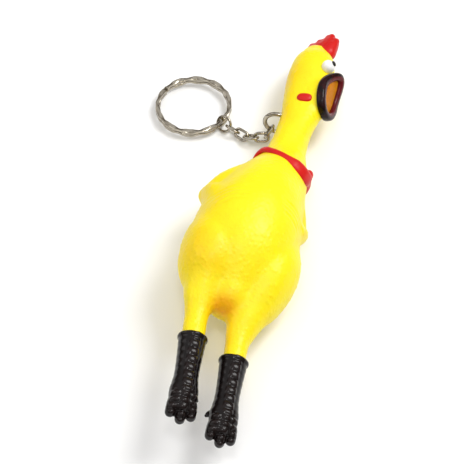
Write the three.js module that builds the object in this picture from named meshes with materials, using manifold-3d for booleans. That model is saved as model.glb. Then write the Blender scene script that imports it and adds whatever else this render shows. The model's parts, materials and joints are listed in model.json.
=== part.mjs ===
// A squeaking rubber chicken on a key chain, lying on its back, in millimetres.
// The chicken's frame: +Y from the feet to the head, +Z out of the belly, +X to the chicken's own left.
// Its origin is the root of the neck. The torso is rolled about +Y, as it lies on its back,
// and the whole group is set down with its box's bottom centre at the origin.
import * as THREE from "three";
import { mergeVertices } from "three/addons/utils/BufferGeometryUtils.js";
import Module from "manifold-3d";

const wasm = await Module();
wasm.setup();

// ---- Driving dimensions, mm and degrees ----
const WALL = 1.6; // soft vinyl skin
const PAINT_GAP = 0.25; // between two nodes of one moulding
const RUN_GAP = 0.35; // between pieces that move past each other

const BODY_ROLL = 19; // the belly turned towards +X
const HEAD_ROLL = 68; // the face turned further towards +X
const NECK_DROP = 2; // the neck slopes down towards the head
const REST_DEPTH = 13.3; // the surface it lies on, below the neck's root; the soft back is flat there

const NECK_RADIUS = 6.3; // the neck, and the ball at its root
const NECK_BORE = 4.6;
const CUP_RIM_Y = -1.2; // top of the torso's neck cup
const CUP_GAP = 0.6; // the straight of the neck leans into the cup's rim
const HEAD_SPLIT_Y = 13; // where the head turns on the neck
const AIRWAY_RADIUS = 3.6; // the hole between the belly and the squeaker
const NECK_TRAVEL = 12; // how deep the airway goes into the torso
const SQUEAKER = { from: 3.3, to: 11.6, bore: 3 };
const CHANNEL = { from: 3.6, to: 11.2, radius: 2.75, airHole: 1.5 };
const REED = { size: [3.6, 6.4, 0.3], at: [0, 8, 0.65] };

const KNEE_RADIUS = 2.9;
const SHANK_LENGTH = 9.2;
const BOOT_LENGTH = 28;
const LEG_BORE = 1.6; // the hollow of the shank, on into the boot
const KNEE_BEND = 25; // each way, degrees
const BELLY_CUT_Z = 8; // the belly above this height is what a hand presses in
const BELLY_OUTLINE = { x: -5, y: -35, halfWidth: 12, halfLength: 20 };

const COLLAR = { radius: 10.7, tilt: 23, at: [-1, -7.5, 0.3], halfWidth: 1.9, halfThickness: 0.75 };
const KNOT = { radius: 2.1, at: [8.4, -6.2, 6.8], stretch: [1, 1.3, 1] };
const MOUTH = {
  y: 28.4,
  halfHeight: 8.9,
  halfWidth: 5.7,
  cornerZ: 8.4,
  upperReach: 4,
  lowerReach: 2.4,
  lip: 1.2,
};
const EYE = { side: 4.3, y: 40.2, z: 8.6, radius: 2.4 };
const PUPIL = { out: 1.7, forward: 1.5, radius: 1 }; // from the eye's middle
const EAR = { side: 6.5, y: 22.6, z: 3, radii: [1.1, 1.8, 3.4] };
const COMB_THICKNESS = 2.4;

const NECK_RING = { radius: 4.25, wire: 0.75, y: 18.7, back: 6.6 };
const LINK = { length: 6.1, width: 4, wire: 0.5 };
const CONNECTOR = { radius: 2.7, halfWidth: 0.45, halfHeight: 0.45 };
const KEY_RING = { radius: 12.6, halfWidth: 0.85, halfHeight: 1.25 };
const HOOK_ANGLE = -52; // where round the neck ring the chain hangs
// How each piece of the chain lies: its roll about the chain's line, then its swing about the wire before it.
const CHAIN_LAY = [[93, -25], [93, -52], [92, -22], [104, 24], [100, 3], [72, 2], [60, 0]];

// ---- Geometry helpers ----
const rad = THREE.MathUtils.degToRad;
const v3 = (p) => new THREE.Vector3(...p);

// A closed three.js geometry as a manifold solid.
function toSolid(geometry) {
  const bare = geometry.clone();
  for (const name of ["normal", "uv"]) bare.deleteAttribute(name);
  const merged = mergeVertices(bare, 1e-4);
  return new wasm.Manifold(
    new wasm.Mesh({
      numProp: 3,
      vertProperties: new Float32Array(merged.attributes.position.array),
      triVerts: new Uint32Array(merged.index.array),
    }),
  );
}

// A manifold solid as a three.js geometry.
function toGeometry(solid) {
  const mesh = solid.getMesh();
  const geometry = new THREE.BufferGeometry();
  geometry.setAttribute("position", new THREE.BufferAttribute(new Float32Array(mesh.vertProperties), 3));
  geometry.setIndex(new THREE.BufferAttribute(new Uint32Array(mesh.triVerts), 1));
  geometry.computeVertexNormals();
  return geometry;
}

const join = (...shapes) => shapes.map(toSolid).reduce((whole, solid) => whole.add(solid));
const cut = (solid, ...tools) => tools.map(toSolid).reduce((rest, tool) => rest.subtract(tool), solid);

// The quads between rings of points, as triangles; a closed run joins the last ring to the first.
function ringIndex(ringCount, around, closed) {
  const index = [];
  for (let i = 0; i < ringCount - (closed ? 0 : 1); i++) {
    const next = ((i + 1) % ringCount) * around;
    for (let j = 0; j < around; j++) {
      const a = i * around + j;
      const b = i * around + ((j + 1) % around);
      const c = next + j;
      const d = next + ((j + 1) % around);
      index.push(a, c, b, b, c, d);
    }
  }
  return index;
}

// A closed surface over rings of points, each end closed by a fan about its ring's middle.
function skinOver(rings) {
  const around = rings[0].length;
  const points = rings.flat();
  const index = ringIndex(rings.length, around, false);
  for (const [ring, turn] of [[0, 0], [rings.length - 1, 1]]) {
    const middle = rings[ring].reduce((sum, p) => sum.add(p), new THREE.Vector3()).divideScalar(around);
    points.push(middle);
    for (let j = 0; j < around; j++) {
      const pair = [ring * around + j, ring * around + ((j + 1) % around)];
      index.push(points.length - 1, pair[turn], pair[1 - turn]);
    }
  }
  const geometry = new THREE.BufferGeometry().setFromPoints(points);
  geometry.setIndex(index);
  return geometry;
}

// A soft tube through stations [x, y, z, side radius, front radius, back radius], front being +Z.
// inset thins it all round; a domed end is rounded off, a flat one is cut square.
function softTube(stations, { around = 20, along = 12, dome = [true, true], inset = 0 } = {}) {
  const spine = new THREE.CatmullRomCurve3(stations.map((s) => v3(s.slice(0, 3))), false, "centripetal");
  const radii = new THREE.CatmullRomCurve3(stations.map((s) => v3(s.slice(3))), false, "catmullrom", 0.5);
  const domeAngles = [15, 40, 65].map(rad);
  const cap = (t, way) => domeAngles.map((a) => ({ t, shrink: Math.sin(a), out: way * Math.cos(a) }));
  const body = Array.from({ length: along + 1 }, (_, i) => ({ t: i / along, shrink: 1, out: 0 }));
  const steps = [...(dome[0] ? cap(0, -1) : []), ...body, ...(dome[1] ? cap(1, 1).reverse() : [])];
  const rings = steps.map(({ t, shrink, out }) => {
    const tangent = spine.getTangent(t);
    const side = new THREE.Vector3().crossVectors(tangent, new THREE.Vector3(0, 0, 1)).normalize();
    const front = new THREE.Vector3().crossVectors(side, tangent).normalize();
    const r = radii.getPoint(t).subScalar(inset);
    const centre = spine.getPoint(t).addScaledVector(tangent, out * r.x);
    return Array.from({ length: around }, (_, j) => {
      const angle = (2 * Math.PI * j) / around;
      const depth = Math.sin(angle) > 0 ? r.y : r.z;
      return centre
        .clone()
        .addScaledVector(side, Math.cos(angle) * r.x * shrink)
        .addScaledVector(front, Math.sin(angle) * depth * shrink);
    });
  });
  return skinOver(rings);
}

// A closed loop of wire through points; ref is the side that the section's height stands to.
function wireLoop(points, ref, height, thickness = height, sides = 8) {
  const rings = points.map((point, i) => {
    const ahead = points[(i + 1) % points.length];
    const behind = points[(i + points.length - 1) % points.length];
    const tangent = ahead.clone().sub(behind).normalize();
    const across = new THREE.Vector3().crossVectors(tangent, ref).normalize();
    const up = new THREE.Vector3().crossVectors(across, tangent).normalize();
    return Array.from({ length: sides }, (_, j) => {
      const angle = (2 * Math.PI * (j + 0.5)) / sides;
      return point
        .clone()
        .addScaledVector(across, Math.cos(angle) * thickness)
        .addScaledVector(up, Math.sin(angle) * height);
    });
  });
  const geometry = new THREE.BufferGeometry().setFromPoints(rings.flat());
  geometry.setIndex(ringIndex(rings.length, sides, true));
  return geometry;
}

// Points round a circle, each made by place from its two coordinates.
const circle = (radius, count, place) =>
  Array.from({ length: count }, (_, i) => {
    const angle = (2 * Math.PI * i) / count;
    return place(Math.cos(angle) * radius, Math.sin(angle) * radius);
  });
const ball = (radius, at, scale = [1, 1, 1], detail = [18, 12]) =>
  new THREE.SphereGeometry(radius, ...detail).scale(...scale).translate(...at);
const box = (size, at) => new THREE.BoxGeometry(...size).translate(...at);
const rodY = (radius, from, to, at = [0, 0], sides = 20) =>
  new THREE.CylinderGeometry(radius, radius, to - from, sides).translate(at[0], (from + to) / 2, at[1]);

// Copies of a shape turned about +X through a pivot, for the room that it sweeps.
function swept(shape, pivot, degrees) {
  const back = pivot.map((v) => -v);
  return degrees.map((turn) => shape.clone().translate(...back).rotateX(rad(turn)).translate(...pivot));
}

// ---- Finishes ----
const finish = (color, roughness, metalness = 0) =>
  new THREE.MeshStandardMaterial({ color, roughness, metalness });
const YELLOW = finish("#f2dc16", 0.4);
const RED = finish("#d01812", 0.35);
const MAROON = finish("#4a0c12", 0.3);
const WHITE = finish("#f2f2ee", 0.3);
const BLACK = finish("#151312", 0.3);
const BOOT = finish("#2a1c18", 0.3);
const STEEL = finish("#c9c5bd", 0.25, 1);
const WHISTLE = finish("#e8e4da", 0.5);
const BRASS = finish("#b9a35a", 0.3, 1);

function named(name, geometry, material, parent) {
  const mesh = new THREE.Mesh(geometry, material);
  mesh.name = name;
  parent.add(mesh);
  return mesh;
}

// ---- Frames ----
const lying = new THREE.Group();
const torsoFrame = new THREE.Group();
torsoFrame.name = "torso_frame";
torsoFrame.rotation.y = rad(BODY_ROLL);
const neckFrame = new THREE.Group();
neckFrame.name = "neck_frame";
neckFrame.rotation.x = -rad(NECK_DROP);
const headFrame = new THREE.Group();
headFrame.name = "head_frame";
headFrame.rotation.y = rad(HEAD_ROLL);
neckFrame.add(headFrame);
lying.add(torsoFrame, neckFrame);

// ---- Torso: chest, belly, thighs and wings as one hollow shell ----
const TRUNK = [
  [0, CUP_RIM_Y, 0, 8.2, 8.2, 8.2],
  [-0.8, -8.6, 0, 10.8, 11.2, 12.4],
  [-3.6, -20, 0, 14.4, 15.5, 14.6],
  [-5.2, -32, 0, 17.4, 18, 15],
  [-5.4, -44, 0, 17.6, 17.6, 14.8],
  [-5.2, -52, 0, 14.4, 14.4, 12.8],
  [-5, -58, 0, 7.6, 8.5, 8],
];
const KNEES = [
  { name: "right", at: [-13.6, -67, 0.5], lean: 6 },
  { name: "left", at: [0.4, -69.5, 0.5], lean: 4 },
];
const PELVIS_X = -5.2;

// The leg's skin from the knee ball down to the boot; grow widens it all round.
const shank = (grow = 0, around = 14, along = 3) =>
  softTube(
    [
      [0, -SHANK_LENGTH, 0, 3.7, 3.7, 3.7],
      [0, -5, 0, 3.6, 3.6, 3.6],
      [0, 0, 0, KNEE_RADIUS, KNEE_RADIUS, KNEE_RADIUS],
    ],
    { around, along, dome: [false, true], inset: -grow },
  );

// A drumstick thigh, from inside the trunk down to its knee.
const thigh = ([x, y, z]) => {
  const out = Math.sign(x - PELVIS_X);
  return [
    [PELVIS_X + out * 9, -39, 1, 8.8, 8, 8],
    [PELVIS_X + out * 10, -45, 0.5, 9.8, 9.5, 9],
    [PELVIS_X + out * 9.4, -54, 0, 8.4, 8.4, 8],
    [x + out * 0.4, y + 6, z, 5.4, 5.4, 5.4],
    [x, y, z, 4.1, 4.1, 4.1],
  ];
};

// A folded wing: the upper arm out to the elbow, and the forearm back over the flank.
const WINGS = [
  [
    [-10, -9, 1, 3.5, 6, 6],
    [-18, -17, -2, 2.6, 5.5, 5],
    [-22, -23, -5, 1.2, 3, 3],
  ],
  [
    [-21.8, -24, -4.6, 1.2, 2.8, 3],
    [-20, -27, 1, 2.2, 5, 5],
    [-17.5, -30, 4, 2, 5.5, 6],
  ],
  [
    [4, -10, 1, 3.5, 6, 6],
    [8.5, -18, -2, 2.6, 5.5, 5],
    [13.2, -24.5, -5, 1.2, 3, 3],
  ],
  [
    [13, -25.5, -4.6, 1.2, 2.8, 3],
    [11, -28, 1, 2.2, 5, 5],
    [8.5, -31, 4, 2, 5.5, 6],
  ],
];

const prism = ({ x, y, halfWidth, halfLength }, grow, from, to) =>
  new THREE.CylinderGeometry(1, 1, to - from, 28)
    .rotateX(Math.PI / 2)
    .scale(halfWidth + grow, halfLength + grow, 1)
    .translate(x, y, (from + to) / 2);

const HIGH = 40; // past any surface
// What lies under the surface that the back is pressed flat on, in the torso's frame.
const underFloor = (raise) =>
  box([6 * HIGH, 6 * HIGH, 2 * HIGH], [0, 0, raise - REST_DEPTH - HIGH]).rotateY(-rad(BODY_ROLL));
const trunk = toSolid(softTube(TRUNK, { around: 20, along: 11, dome: [false, true] }));
const innerTrunk = cut(
  toSolid(softTube(TRUNK.slice(1), { around: 14, along: 7, dome: [false, true], inset: WALL })),
  underFloor(WALL),
);

// The collar is a band round the shoulders, low on one side.
const collarTilt = new THREE.Matrix4().makeRotationZ(-rad(COLLAR.tilt)).setPosition(...COLLAR.at);
const collarPath = circle(COLLAR.radius, 26, (a, b) => new THREE.Vector3(a, 0, -b).applyMatrix4(collarTilt));
const collarBand = (grow) =>
  wireLoop(collarPath, new THREE.Vector3(0, 1, 0), COLLAR.halfWidth + grow, COLLAR.halfThickness + grow, 6);

{
  let shell = trunk;
  const thighForm = { around: 12, along: 6, dome: [true, false] };
  for (const knee of KNEES) shell = shell.add(toSolid(softTube(thigh(knee.at), thighForm)));
  for (const arm of WINGS) shell = shell.add(toSolid(softTube(arm, { around: 10, along: 3 })));
  shell = shell.subtract(innerTrunk);
  for (const knee of KNEES) {
    const hollow = softTube(thigh(knee.at).slice(0, 4), { around: 10, along: 4, inset: WALL });
    shell = cut(shell, hollow);
    for (const room of swept(shank(RUN_GAP, 10, 2), [0, 0, 0], [-KNEE_BEND, 0, KNEE_BEND])) {
      shell = cut(shell, room.rotateZ(rad(knee.lean)).translate(...knee.at));
    }
  }
  shell = cut(
    shell,
    ball(NECK_RADIUS + CUP_GAP, [0, 0, 0], [1, 1, 1], [20, 14]),
    rodY(AIRWAY_RADIUS, -NECK_TRAVEL, 0),
    prism(BELLY_OUTLINE, RUN_GAP, BELLY_CUT_Z - RUN_GAP, HIGH),
    collarBand(PAINT_GAP),
    underFloor(0),
  );
  named("torso_shell", toGeometry(shell), YELLOW, torsoFrame);

  const lid = trunk
    .intersect(toSolid(prism(BELLY_OUTLINE, 0, BELLY_CUT_Z, HIGH)))
    .subtract(innerTrunk.intersect(toSolid(prism(BELLY_OUTLINE, -WALL, BELLY_CUT_Z - 1, HIGH))));
  named("belly_panel", toGeometry(lid), YELLOW, torsoFrame);

  named("collar", collarBand(0), RED, torsoFrame);
  const { radius, at, stretch } = KNOT;
  const knot = cut(
    toSolid(ball(radius, at, stretch, [12, 8])),
    collarBand(PAINT_GAP),
    softTube(TRUNK, { inset: -2 * PAINT_GAP }),
  );
  named("collar_knot", toGeometry(knot), RED, torsoFrame);
}

// ---- Neck, with the squeaker in its bore ----
{
  const tube = toSolid(
    softTube(
      [
        [0, 0, 0, NECK_RADIUS, NECK_RADIUS, NECK_RADIUS],
        [0, HEAD_SPLIT_Y - RUN_GAP, 0, NECK_RADIUS, NECK_RADIUS, NECK_RADIUS],
      ],
      { around: 20, along: 1, dome: [true, false] },
    ),
  );
  const boreFrom = SQUEAKER.from - PAINT_GAP;
  const airway = rodY(AIRWAY_RADIUS, -NECK_TRAVEL, boreFrom);
  const bore = rodY(NECK_BORE, boreFrom, HIGH);
  named("neck_shell", toGeometry(cut(tube, airway, bore)), YELLOW, neckFrame);

  const caseSolid = toSolid(rodY(NECK_BORE - PAINT_GAP, SQUEAKER.from, SQUEAKER.to));
  const squeaker = cut(caseSolid, rodY(SQUEAKER.bore, 0, HIGH));
  named("squeaker_case", toGeometry(squeaker), WHISTLE, neckFrame);
  // Half of the channel is cut away over the reed, and its air hole runs out under it.
  const channel = cut(
    toSolid(rodY(CHANNEL.radius, CHANNEL.from, CHANNEL.to)),
    box([HIGH, 7, 3.2], [0, 8.2, 1.9]),
    rodY(CHANNEL.airHole, 4.8, HIGH),
  );
  named("reed_channel", toGeometry(channel), WHISTLE, neckFrame);
  named("reed", box(REED.size, REED.at), BRASS, neckFrame);
}

// ---- Head ----
const SKULL = [
  [0, HEAD_SPLIT_Y, 0.2, 6, 6.3, 6],
  [0, 20, 0.3, 5.9, 7.4, 5.6],
  [0, 26, 0.5, 6.5, 9, 6.6],
  [0, 34, 0.5, 6.9, 9.3, 7],
  [0, 42, 0.6, 6.9, 9.2, 7.3],
  [0, 48.5, 1, 6.2, 7.8, 6.6],
  [0, 52, 1.4, 4.6, 5.6, 5],
];
// The open beak's edge: the corners lie back on the cheeks and the two beak tips stand forward.
const lipPath = circle(1, 24, (a, b) => {
  const reach = b * b * (b > 0 ? MOUTH.upperReach : MOUTH.lowerReach);
  return new THREE.Vector3(a * MOUTH.halfWidth, MOUTH.y + b * MOUTH.halfHeight, MOUTH.cornerZ + reach);
});
const lipLoop = (grow) =>
  wireLoop(lipPath, new THREE.Vector3(0, 0, 1), MOUTH.lip + grow, MOUTH.lip + grow, 6);
const sides = [["left", 1], ["right", -1]];
const earAt = (side) => [side * EAR.side, EAR.y, EAR.z];
const eyeAt = (side) => [side * EYE.side, EYE.y, EYE.z];
const pupilAt = (side) => [side * (EYE.side + PUPIL.out), EYE.y, EYE.z + PUPIL.forward];

// The ring through the nape swings about the line between its two holes.
const RING_PIVOT = [0, NECK_RING.y, 1.4 - NECK_RING.back];
const neckRingLoop = (grow) =>
  wireLoop(
    circle(NECK_RING.radius, 20, (a, b) => new THREE.Vector3(a, NECK_RING.y, -b - NECK_RING.back)),
    new THREE.Vector3(0, 1, 0),
    NECK_RING.wire + grow,
    NECK_RING.wire + grow,
    6,
  );

const combOutline = new THREE.Shape();
combOutline.moveTo(-4, 52);
combOutline.quadraticCurveTo(-4.4, 57.6, -2.2, 58);
combOutline.lineTo(0.4, 57);
combOutline.quadraticCurveTo(1.4, 61.4, 4.6, 62);
combOutline.lineTo(5.4, 58.4);
combOutline.quadraticCurveTo(7.6, 59, 8.4, 57);
combOutline.quadraticCurveTo(8.2, 53, 6.6, 50);
const combPlate = (thickness) =>
  new THREE.ExtrudeGeometry(combOutline, { depth: thickness, bevelEnabled: false, curveSegments: 5 })
    .rotateY(-Math.PI / 2)
    .translate(thickness / 2, 0, 0);

{
  const beak = (tipY, rootY) =>
    softTube(
      [
        [0, rootY, 4, 5.2, 3, 3],
        [0, (tipY + rootY) / 2, 8, 4.4, 2.8, 2.8],
        [0, tipY, 10.6, 2, 1.8, 1.8],
      ],
      { around: 14, along: 6 },
    );
  const skull = softTube(SKULL, { around: 18, along: 10, dome: [false, true] });
  let head = join(skull, beak(37.4, 38.6), beak(19.4, 21));
  head = cut(
    head,
    softTube(SKULL.slice(0, 6), { around: 14, along: 6, dome: [false, true], inset: WALL }),
    ball(1, [0, MOUTH.y, 11], [MOUTH.halfWidth - 0.9, MOUTH.halfHeight - 1.2, 9], [14, 10]),
    rodY(3.2, HEAD_SPLIT_Y - 1, MOUTH.y),
    lipLoop(PAINT_GAP),
  );
  head = cut(head, ...swept(neckRingLoop(RUN_GAP), RING_PIVOT, [-14, 0, 14]));
  for (const [, side] of sides) {
    head = cut(
      head,
      ball(EYE.radius + PAINT_GAP, eyeAt(side), [1, 1, 1], [12, 8]),
      ball(1, earAt(side), EAR.radii.map((r) => r + PAINT_GAP), [12, 6]),
    );
  }
  head = cut(head, combPlate(COMB_THICKNESS + 2 * PAINT_GAP));
  named("head_shell", toGeometry(head), YELLOW, headFrame);
  named("mouth_rim", lipLoop(0), MAROON, headFrame);

  named("comb", combPlate(COMB_THICKNESS), RED, headFrame);
  for (const [name, side] of sides) {
    const whole = toSolid(ball(EYE.radius, eyeAt(side), [1, 1, 1], [12, 8]));
    const eye = cut(whole, ball(PUPIL.radius + PAINT_GAP, pupilAt(side), [1, 1, 1], [10, 6]));
    named(`${name}_eye`, toGeometry(eye), WHITE, headFrame);
    named(`${name}_pupil`, ball(PUPIL.radius, pupilAt(side), [1, 1, 1], [10, 6]), BLACK, headFrame);
    named(`${name}_ear_lobe`, ball(1, earAt(side), EAR.radii, [12, 6]), RED, headFrame);
  }
}

// ---- Legs and boots ----
for (const { name, at, lean } of KNEES) {
  const leg = new THREE.Group();
  leg.name = `${name}_leg_frame`;
  leg.position.set(...at);
  leg.rotation.z = rad(lean);
  torsoFrame.add(leg);
  const legBore = rodY(LEG_BORE, -SHANK_LENGTH - BOOT_LENGTH / 2, HIGH, [0, 0], 12);
  named(`${name}_shank`, toGeometry(cut(toSolid(shank()), legBore)), YELLOW, leg);

  const top = -SHANK_LENGTH - PAINT_GAP;
  const end = top - BOOT_LENGTH;
  const toe = (spread, length) =>
    softTube(
      [
        [spread * 0.5, end + 9, 0, 1.8, 1.8, 1.8],
        [spread, end + 9 - length * 0.6, 0.4, 1.6, 1.6, 1.5],
        [spread * 1.15, end + 9 - length, 0.4, 1.2, 1.2, 1.1],
      ],
      { around: 8, along: 2 },
    );
  const boot = join(
    softTube(
      [
        [0, top, 0, 4, 3.9, 3.9],
        [0, top - 8, 0, 3.7, 3.6, 3.6],
        [0, end + 12, 0, 3.7, 3.8, 3.4],
        [0, end + 8, 0, 4, 3.4, 3.2],
      ],
      { around: 14, along: 4, dome: [false, true] },
    ),
    toe(-3, 6.6),
    toe(0, 7.8),
    toe(3, 6.6),
    softTube(
      [
        [0, end + 14, -2.5, 1.2, 1.2, 1.2],
        [0, end + 12, -4.6, 0.8, 0.8, 0.8],
      ],
      { around: 6, along: 1 },
    ),
  );
  named(`${name}_boot`, toGeometry(cut(boot, legBore)), BOOT, leg);
}

// ---- Hardware: the neck ring, the chain, the connector ring and the split key ring ----
// Each piece's own frame has X square to its plane and Y along the chain.
// It starts at the wire that the piece hangs on.
named("neck_ring", neckRingLoop(0), STEEL, headFrame);

// A link with round ends, its near end's wire at y = near.
function linkLoop(near) {
  const bend = LINK.width / 2 - LINK.wire;
  const straight = LINK.length - LINK.width;
  const place = (a, b) => new THREE.Vector3(0, near + bend + (b < 0 ? 0 : straight) + b, a);
  const points = circle(bend, 16, place);
  return wireLoop(points, new THREE.Vector3(1, 0, 0), LINK.wire, LINK.wire, 6);
}
// A round ring in the chain, its near side's wire at y = near.
function roundLoop({ radius, halfHeight, halfWidth }, near, count, sides) {
  const points = circle(radius, count, (a, b) => new THREE.Vector3(0, near + radius + b, a));
  return wireLoop(points, new THREE.Vector3(1, 0, 0), halfHeight, halfWidth, sides);
}

{
  const hook = rad(HOOK_ANGLE);
  let place = new THREE.Group();
  const outward = new THREE.Vector3(Math.cos(hook), 0, Math.sin(hook));
  place.position.set(0, NECK_RING.y, -NECK_RING.back).addScaledVector(outward, NECK_RING.radius);
  const up = new THREE.Vector3(0, 1, 0);
  const basis = new THREE.Matrix4().makeBasis(up, outward, up.clone().cross(outward));
  place.quaternion.setFromRotationMatrix(basis);
  headFrame.add(place);
  let wireBefore = NECK_RING.wire;
  CHAIN_LAY.forEach(([roll, swing], i) => {
    const turned = new THREE.Group();
    turned.rotation.set(rad(swing), rad(roll), 0, "YXZ");
    place.add(turned);
    const isConnector = i === CHAIN_LAY.length - 2;
    const isKeyRing = i === CHAIN_LAY.length - 1;
    const wire = isKeyRing ? KEY_RING.halfWidth : isConnector ? CONNECTOR.halfWidth : LINK.wire;
    const near = -(wireBefore + RUN_GAP + wire);
    let far = near + LINK.length - 2 * LINK.wire;
    if (isKeyRing) {
      turned.name = "key_ring_frame";
      named("key_ring", roundLoop(KEY_RING, near, 36, 8), STEEL, turned);
    } else if (isConnector) {
      turned.name = "connector_ring_frame";
      named("connector_ring", roundLoop(CONNECTOR, near, 20, 6), STEEL, turned);
      far = near + 2 * CONNECTOR.radius;
    } else {
      turned.name = `chain_link_${i + 1}_frame`;
      named(`chain_link_${i + 1}`, linkLoop(near), STEEL, turned);
    }
    place = new THREE.Group();
    place.position.y = far;
    turned.add(place);
    wireBefore = wire;
  });
}

const part = new THREE.Group();
part.add(lying);
part.updateMatrixWorld(true);
const bounds = new THREE.Box3().setFromObject(part, true);
const centre = bounds.getCenter(new THREE.Vector3());
lying.position.set(-centre.x, -centre.y, -bounds.min.z);
part.updateMatrixWorld(true);

export default part;
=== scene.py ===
"""A squeaking rubber chicken on a key chain, lying on its back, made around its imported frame.

Lengths are in millimetres until a piece is made, and places are in the frames that the joints give:
+Y runs from the feet to the head, +Z out of the belly or the beak, and +X to the chicken's own left.
"""

from __future__ import annotations

import json
import logging
import math
from collections.abc import Callable, Iterable, Sequence
from dataclasses import dataclass, field
from enum import Enum

import bpy
import numpy as np
from mathutils import Matrix, Vector, noise
from mathutils.bvhtree import BVHTree

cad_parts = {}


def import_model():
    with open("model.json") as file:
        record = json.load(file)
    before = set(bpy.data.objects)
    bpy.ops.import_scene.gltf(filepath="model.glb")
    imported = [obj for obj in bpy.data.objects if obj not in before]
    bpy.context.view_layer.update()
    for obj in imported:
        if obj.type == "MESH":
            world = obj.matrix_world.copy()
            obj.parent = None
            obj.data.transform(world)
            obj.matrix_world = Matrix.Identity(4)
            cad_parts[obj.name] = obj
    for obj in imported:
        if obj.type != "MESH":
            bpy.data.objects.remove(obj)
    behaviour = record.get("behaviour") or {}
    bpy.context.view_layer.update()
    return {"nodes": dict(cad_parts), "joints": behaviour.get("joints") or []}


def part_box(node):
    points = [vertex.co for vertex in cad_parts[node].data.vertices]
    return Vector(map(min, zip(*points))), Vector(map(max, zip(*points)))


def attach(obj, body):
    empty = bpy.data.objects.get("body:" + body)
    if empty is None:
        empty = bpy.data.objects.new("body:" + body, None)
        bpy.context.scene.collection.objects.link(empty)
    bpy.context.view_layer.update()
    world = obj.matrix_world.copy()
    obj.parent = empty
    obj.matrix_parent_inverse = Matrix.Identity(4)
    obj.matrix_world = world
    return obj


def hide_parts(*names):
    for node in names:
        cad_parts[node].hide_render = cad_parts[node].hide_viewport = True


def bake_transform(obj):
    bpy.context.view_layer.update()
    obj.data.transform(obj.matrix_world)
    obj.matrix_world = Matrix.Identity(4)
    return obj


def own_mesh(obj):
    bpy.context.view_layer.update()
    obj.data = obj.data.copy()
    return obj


LOG = logging.getLogger("rubber_chicken")
MM = 0.001
TAU = 2 * math.pi
Station = tuple[float, float, float, float, float, float]
Triple = tuple[float, float, float]


# ---- Frames ----


@dataclass(frozen=True)
class Place:
    """A right-handed frame: an origin in millimetres and three unit axes, in the row's axes."""

    origin: Vector
    x: Vector
    y: Vector
    z: Vector

    @classmethod
    def from_xy(cls, origin: Vector, x: Vector, y: Vector) -> Place:
        """The frame whose X is x and whose Y is as near y as a right angle allows.

        Args:
            origin: the frame's origin.
            x: the direction of its X.
            y: a direction near its Y.

        Returns:
            The frame.
        """
        x = x.normalized()
        z = x.cross(y).normalized()
        return cls(origin, x, z.cross(x), z)

    def at(self, x: float, y: float, z: float) -> Vector:
        """The row-frame place of a point of this frame."""
        return self.origin + self.x * x + self.y * y + self.z * z

    def turn(self, x: float, y: float, z: float) -> Vector:
        """The row-frame direction of a direction of this frame."""
        return self.x * x + self.y * y + self.z * z

    def local(self, points: np.ndarray) -> np.ndarray:
        """Row-frame points as this frame's own coordinates."""
        return (points - np.array(self.origin)) @ np.array([self.x, self.y, self.z]).T


class Frames:
    """The chicken's frames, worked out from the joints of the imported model."""

    def __init__(self, joints: Sequence[dict]) -> None:
        """Reads every joint's place and axis.

        Args:
            joints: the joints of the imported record, in metres.
        """
        self._joints = {joint["name"]: joint for joint in joints}
        root = self.pivot("neck_bend")
        torso_x = self.axis("neck_bend")
        torso_z = -self.axis("belly_squeeze")
        self.torso = Place.from_xy(root, torso_x, torso_z.cross(torso_x))
        self.head = Place.from_xy(root, self.axis("neck_ring_swing"), self.axis("head_turn"))
        self.legs = {side: self._leg(side) for side in Side}

    def axis(self, joint: str) -> Vector:
        """The axis of a joint."""
        return Vector(self._joints[joint]["axis"])

    def pivot(self, joint: str) -> Vector:
        """The pivot of a hinge, in millimetres."""
        return Vector(self._joints[joint]["pos_m"]) / MM

    def _leg(self, side: Side) -> Place:
        """The frame of one leg, with its origin in the knee."""
        x = self.axis(f"{side.value}_knee")
        return Place.from_xy(self.pivot(f"{side.value}_knee"), x, self.torso.z.cross(x))

    def link(self, joint: str, ahead: Vector) -> Place:
        """The frame of a piece of the chain, with X square to its plane and Y towards a point ahead.

        Args:
            joint: the hinge that the piece swings on.
            ahead: a point on the piece's own line.

        Returns:
            The frame, with its origin in the wire that the piece hangs on.
        """
        start = self.pivot(joint)
        return Place.from_xy(start, self.axis(joint), ahead - start)


class Side(Enum):
    """The chicken's own sides."""

    LEFT = "left"
    RIGHT = "right"

    @property
    def sign(self) -> int:
        """+1 on the left, where +X is."""
        return 1 if self is Side.LEFT else -1


class End(Enum):
    """How a soft tube ends."""

    ROUND = "round"
    SQUARE = "square"


# ---- Shapes ----


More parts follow.
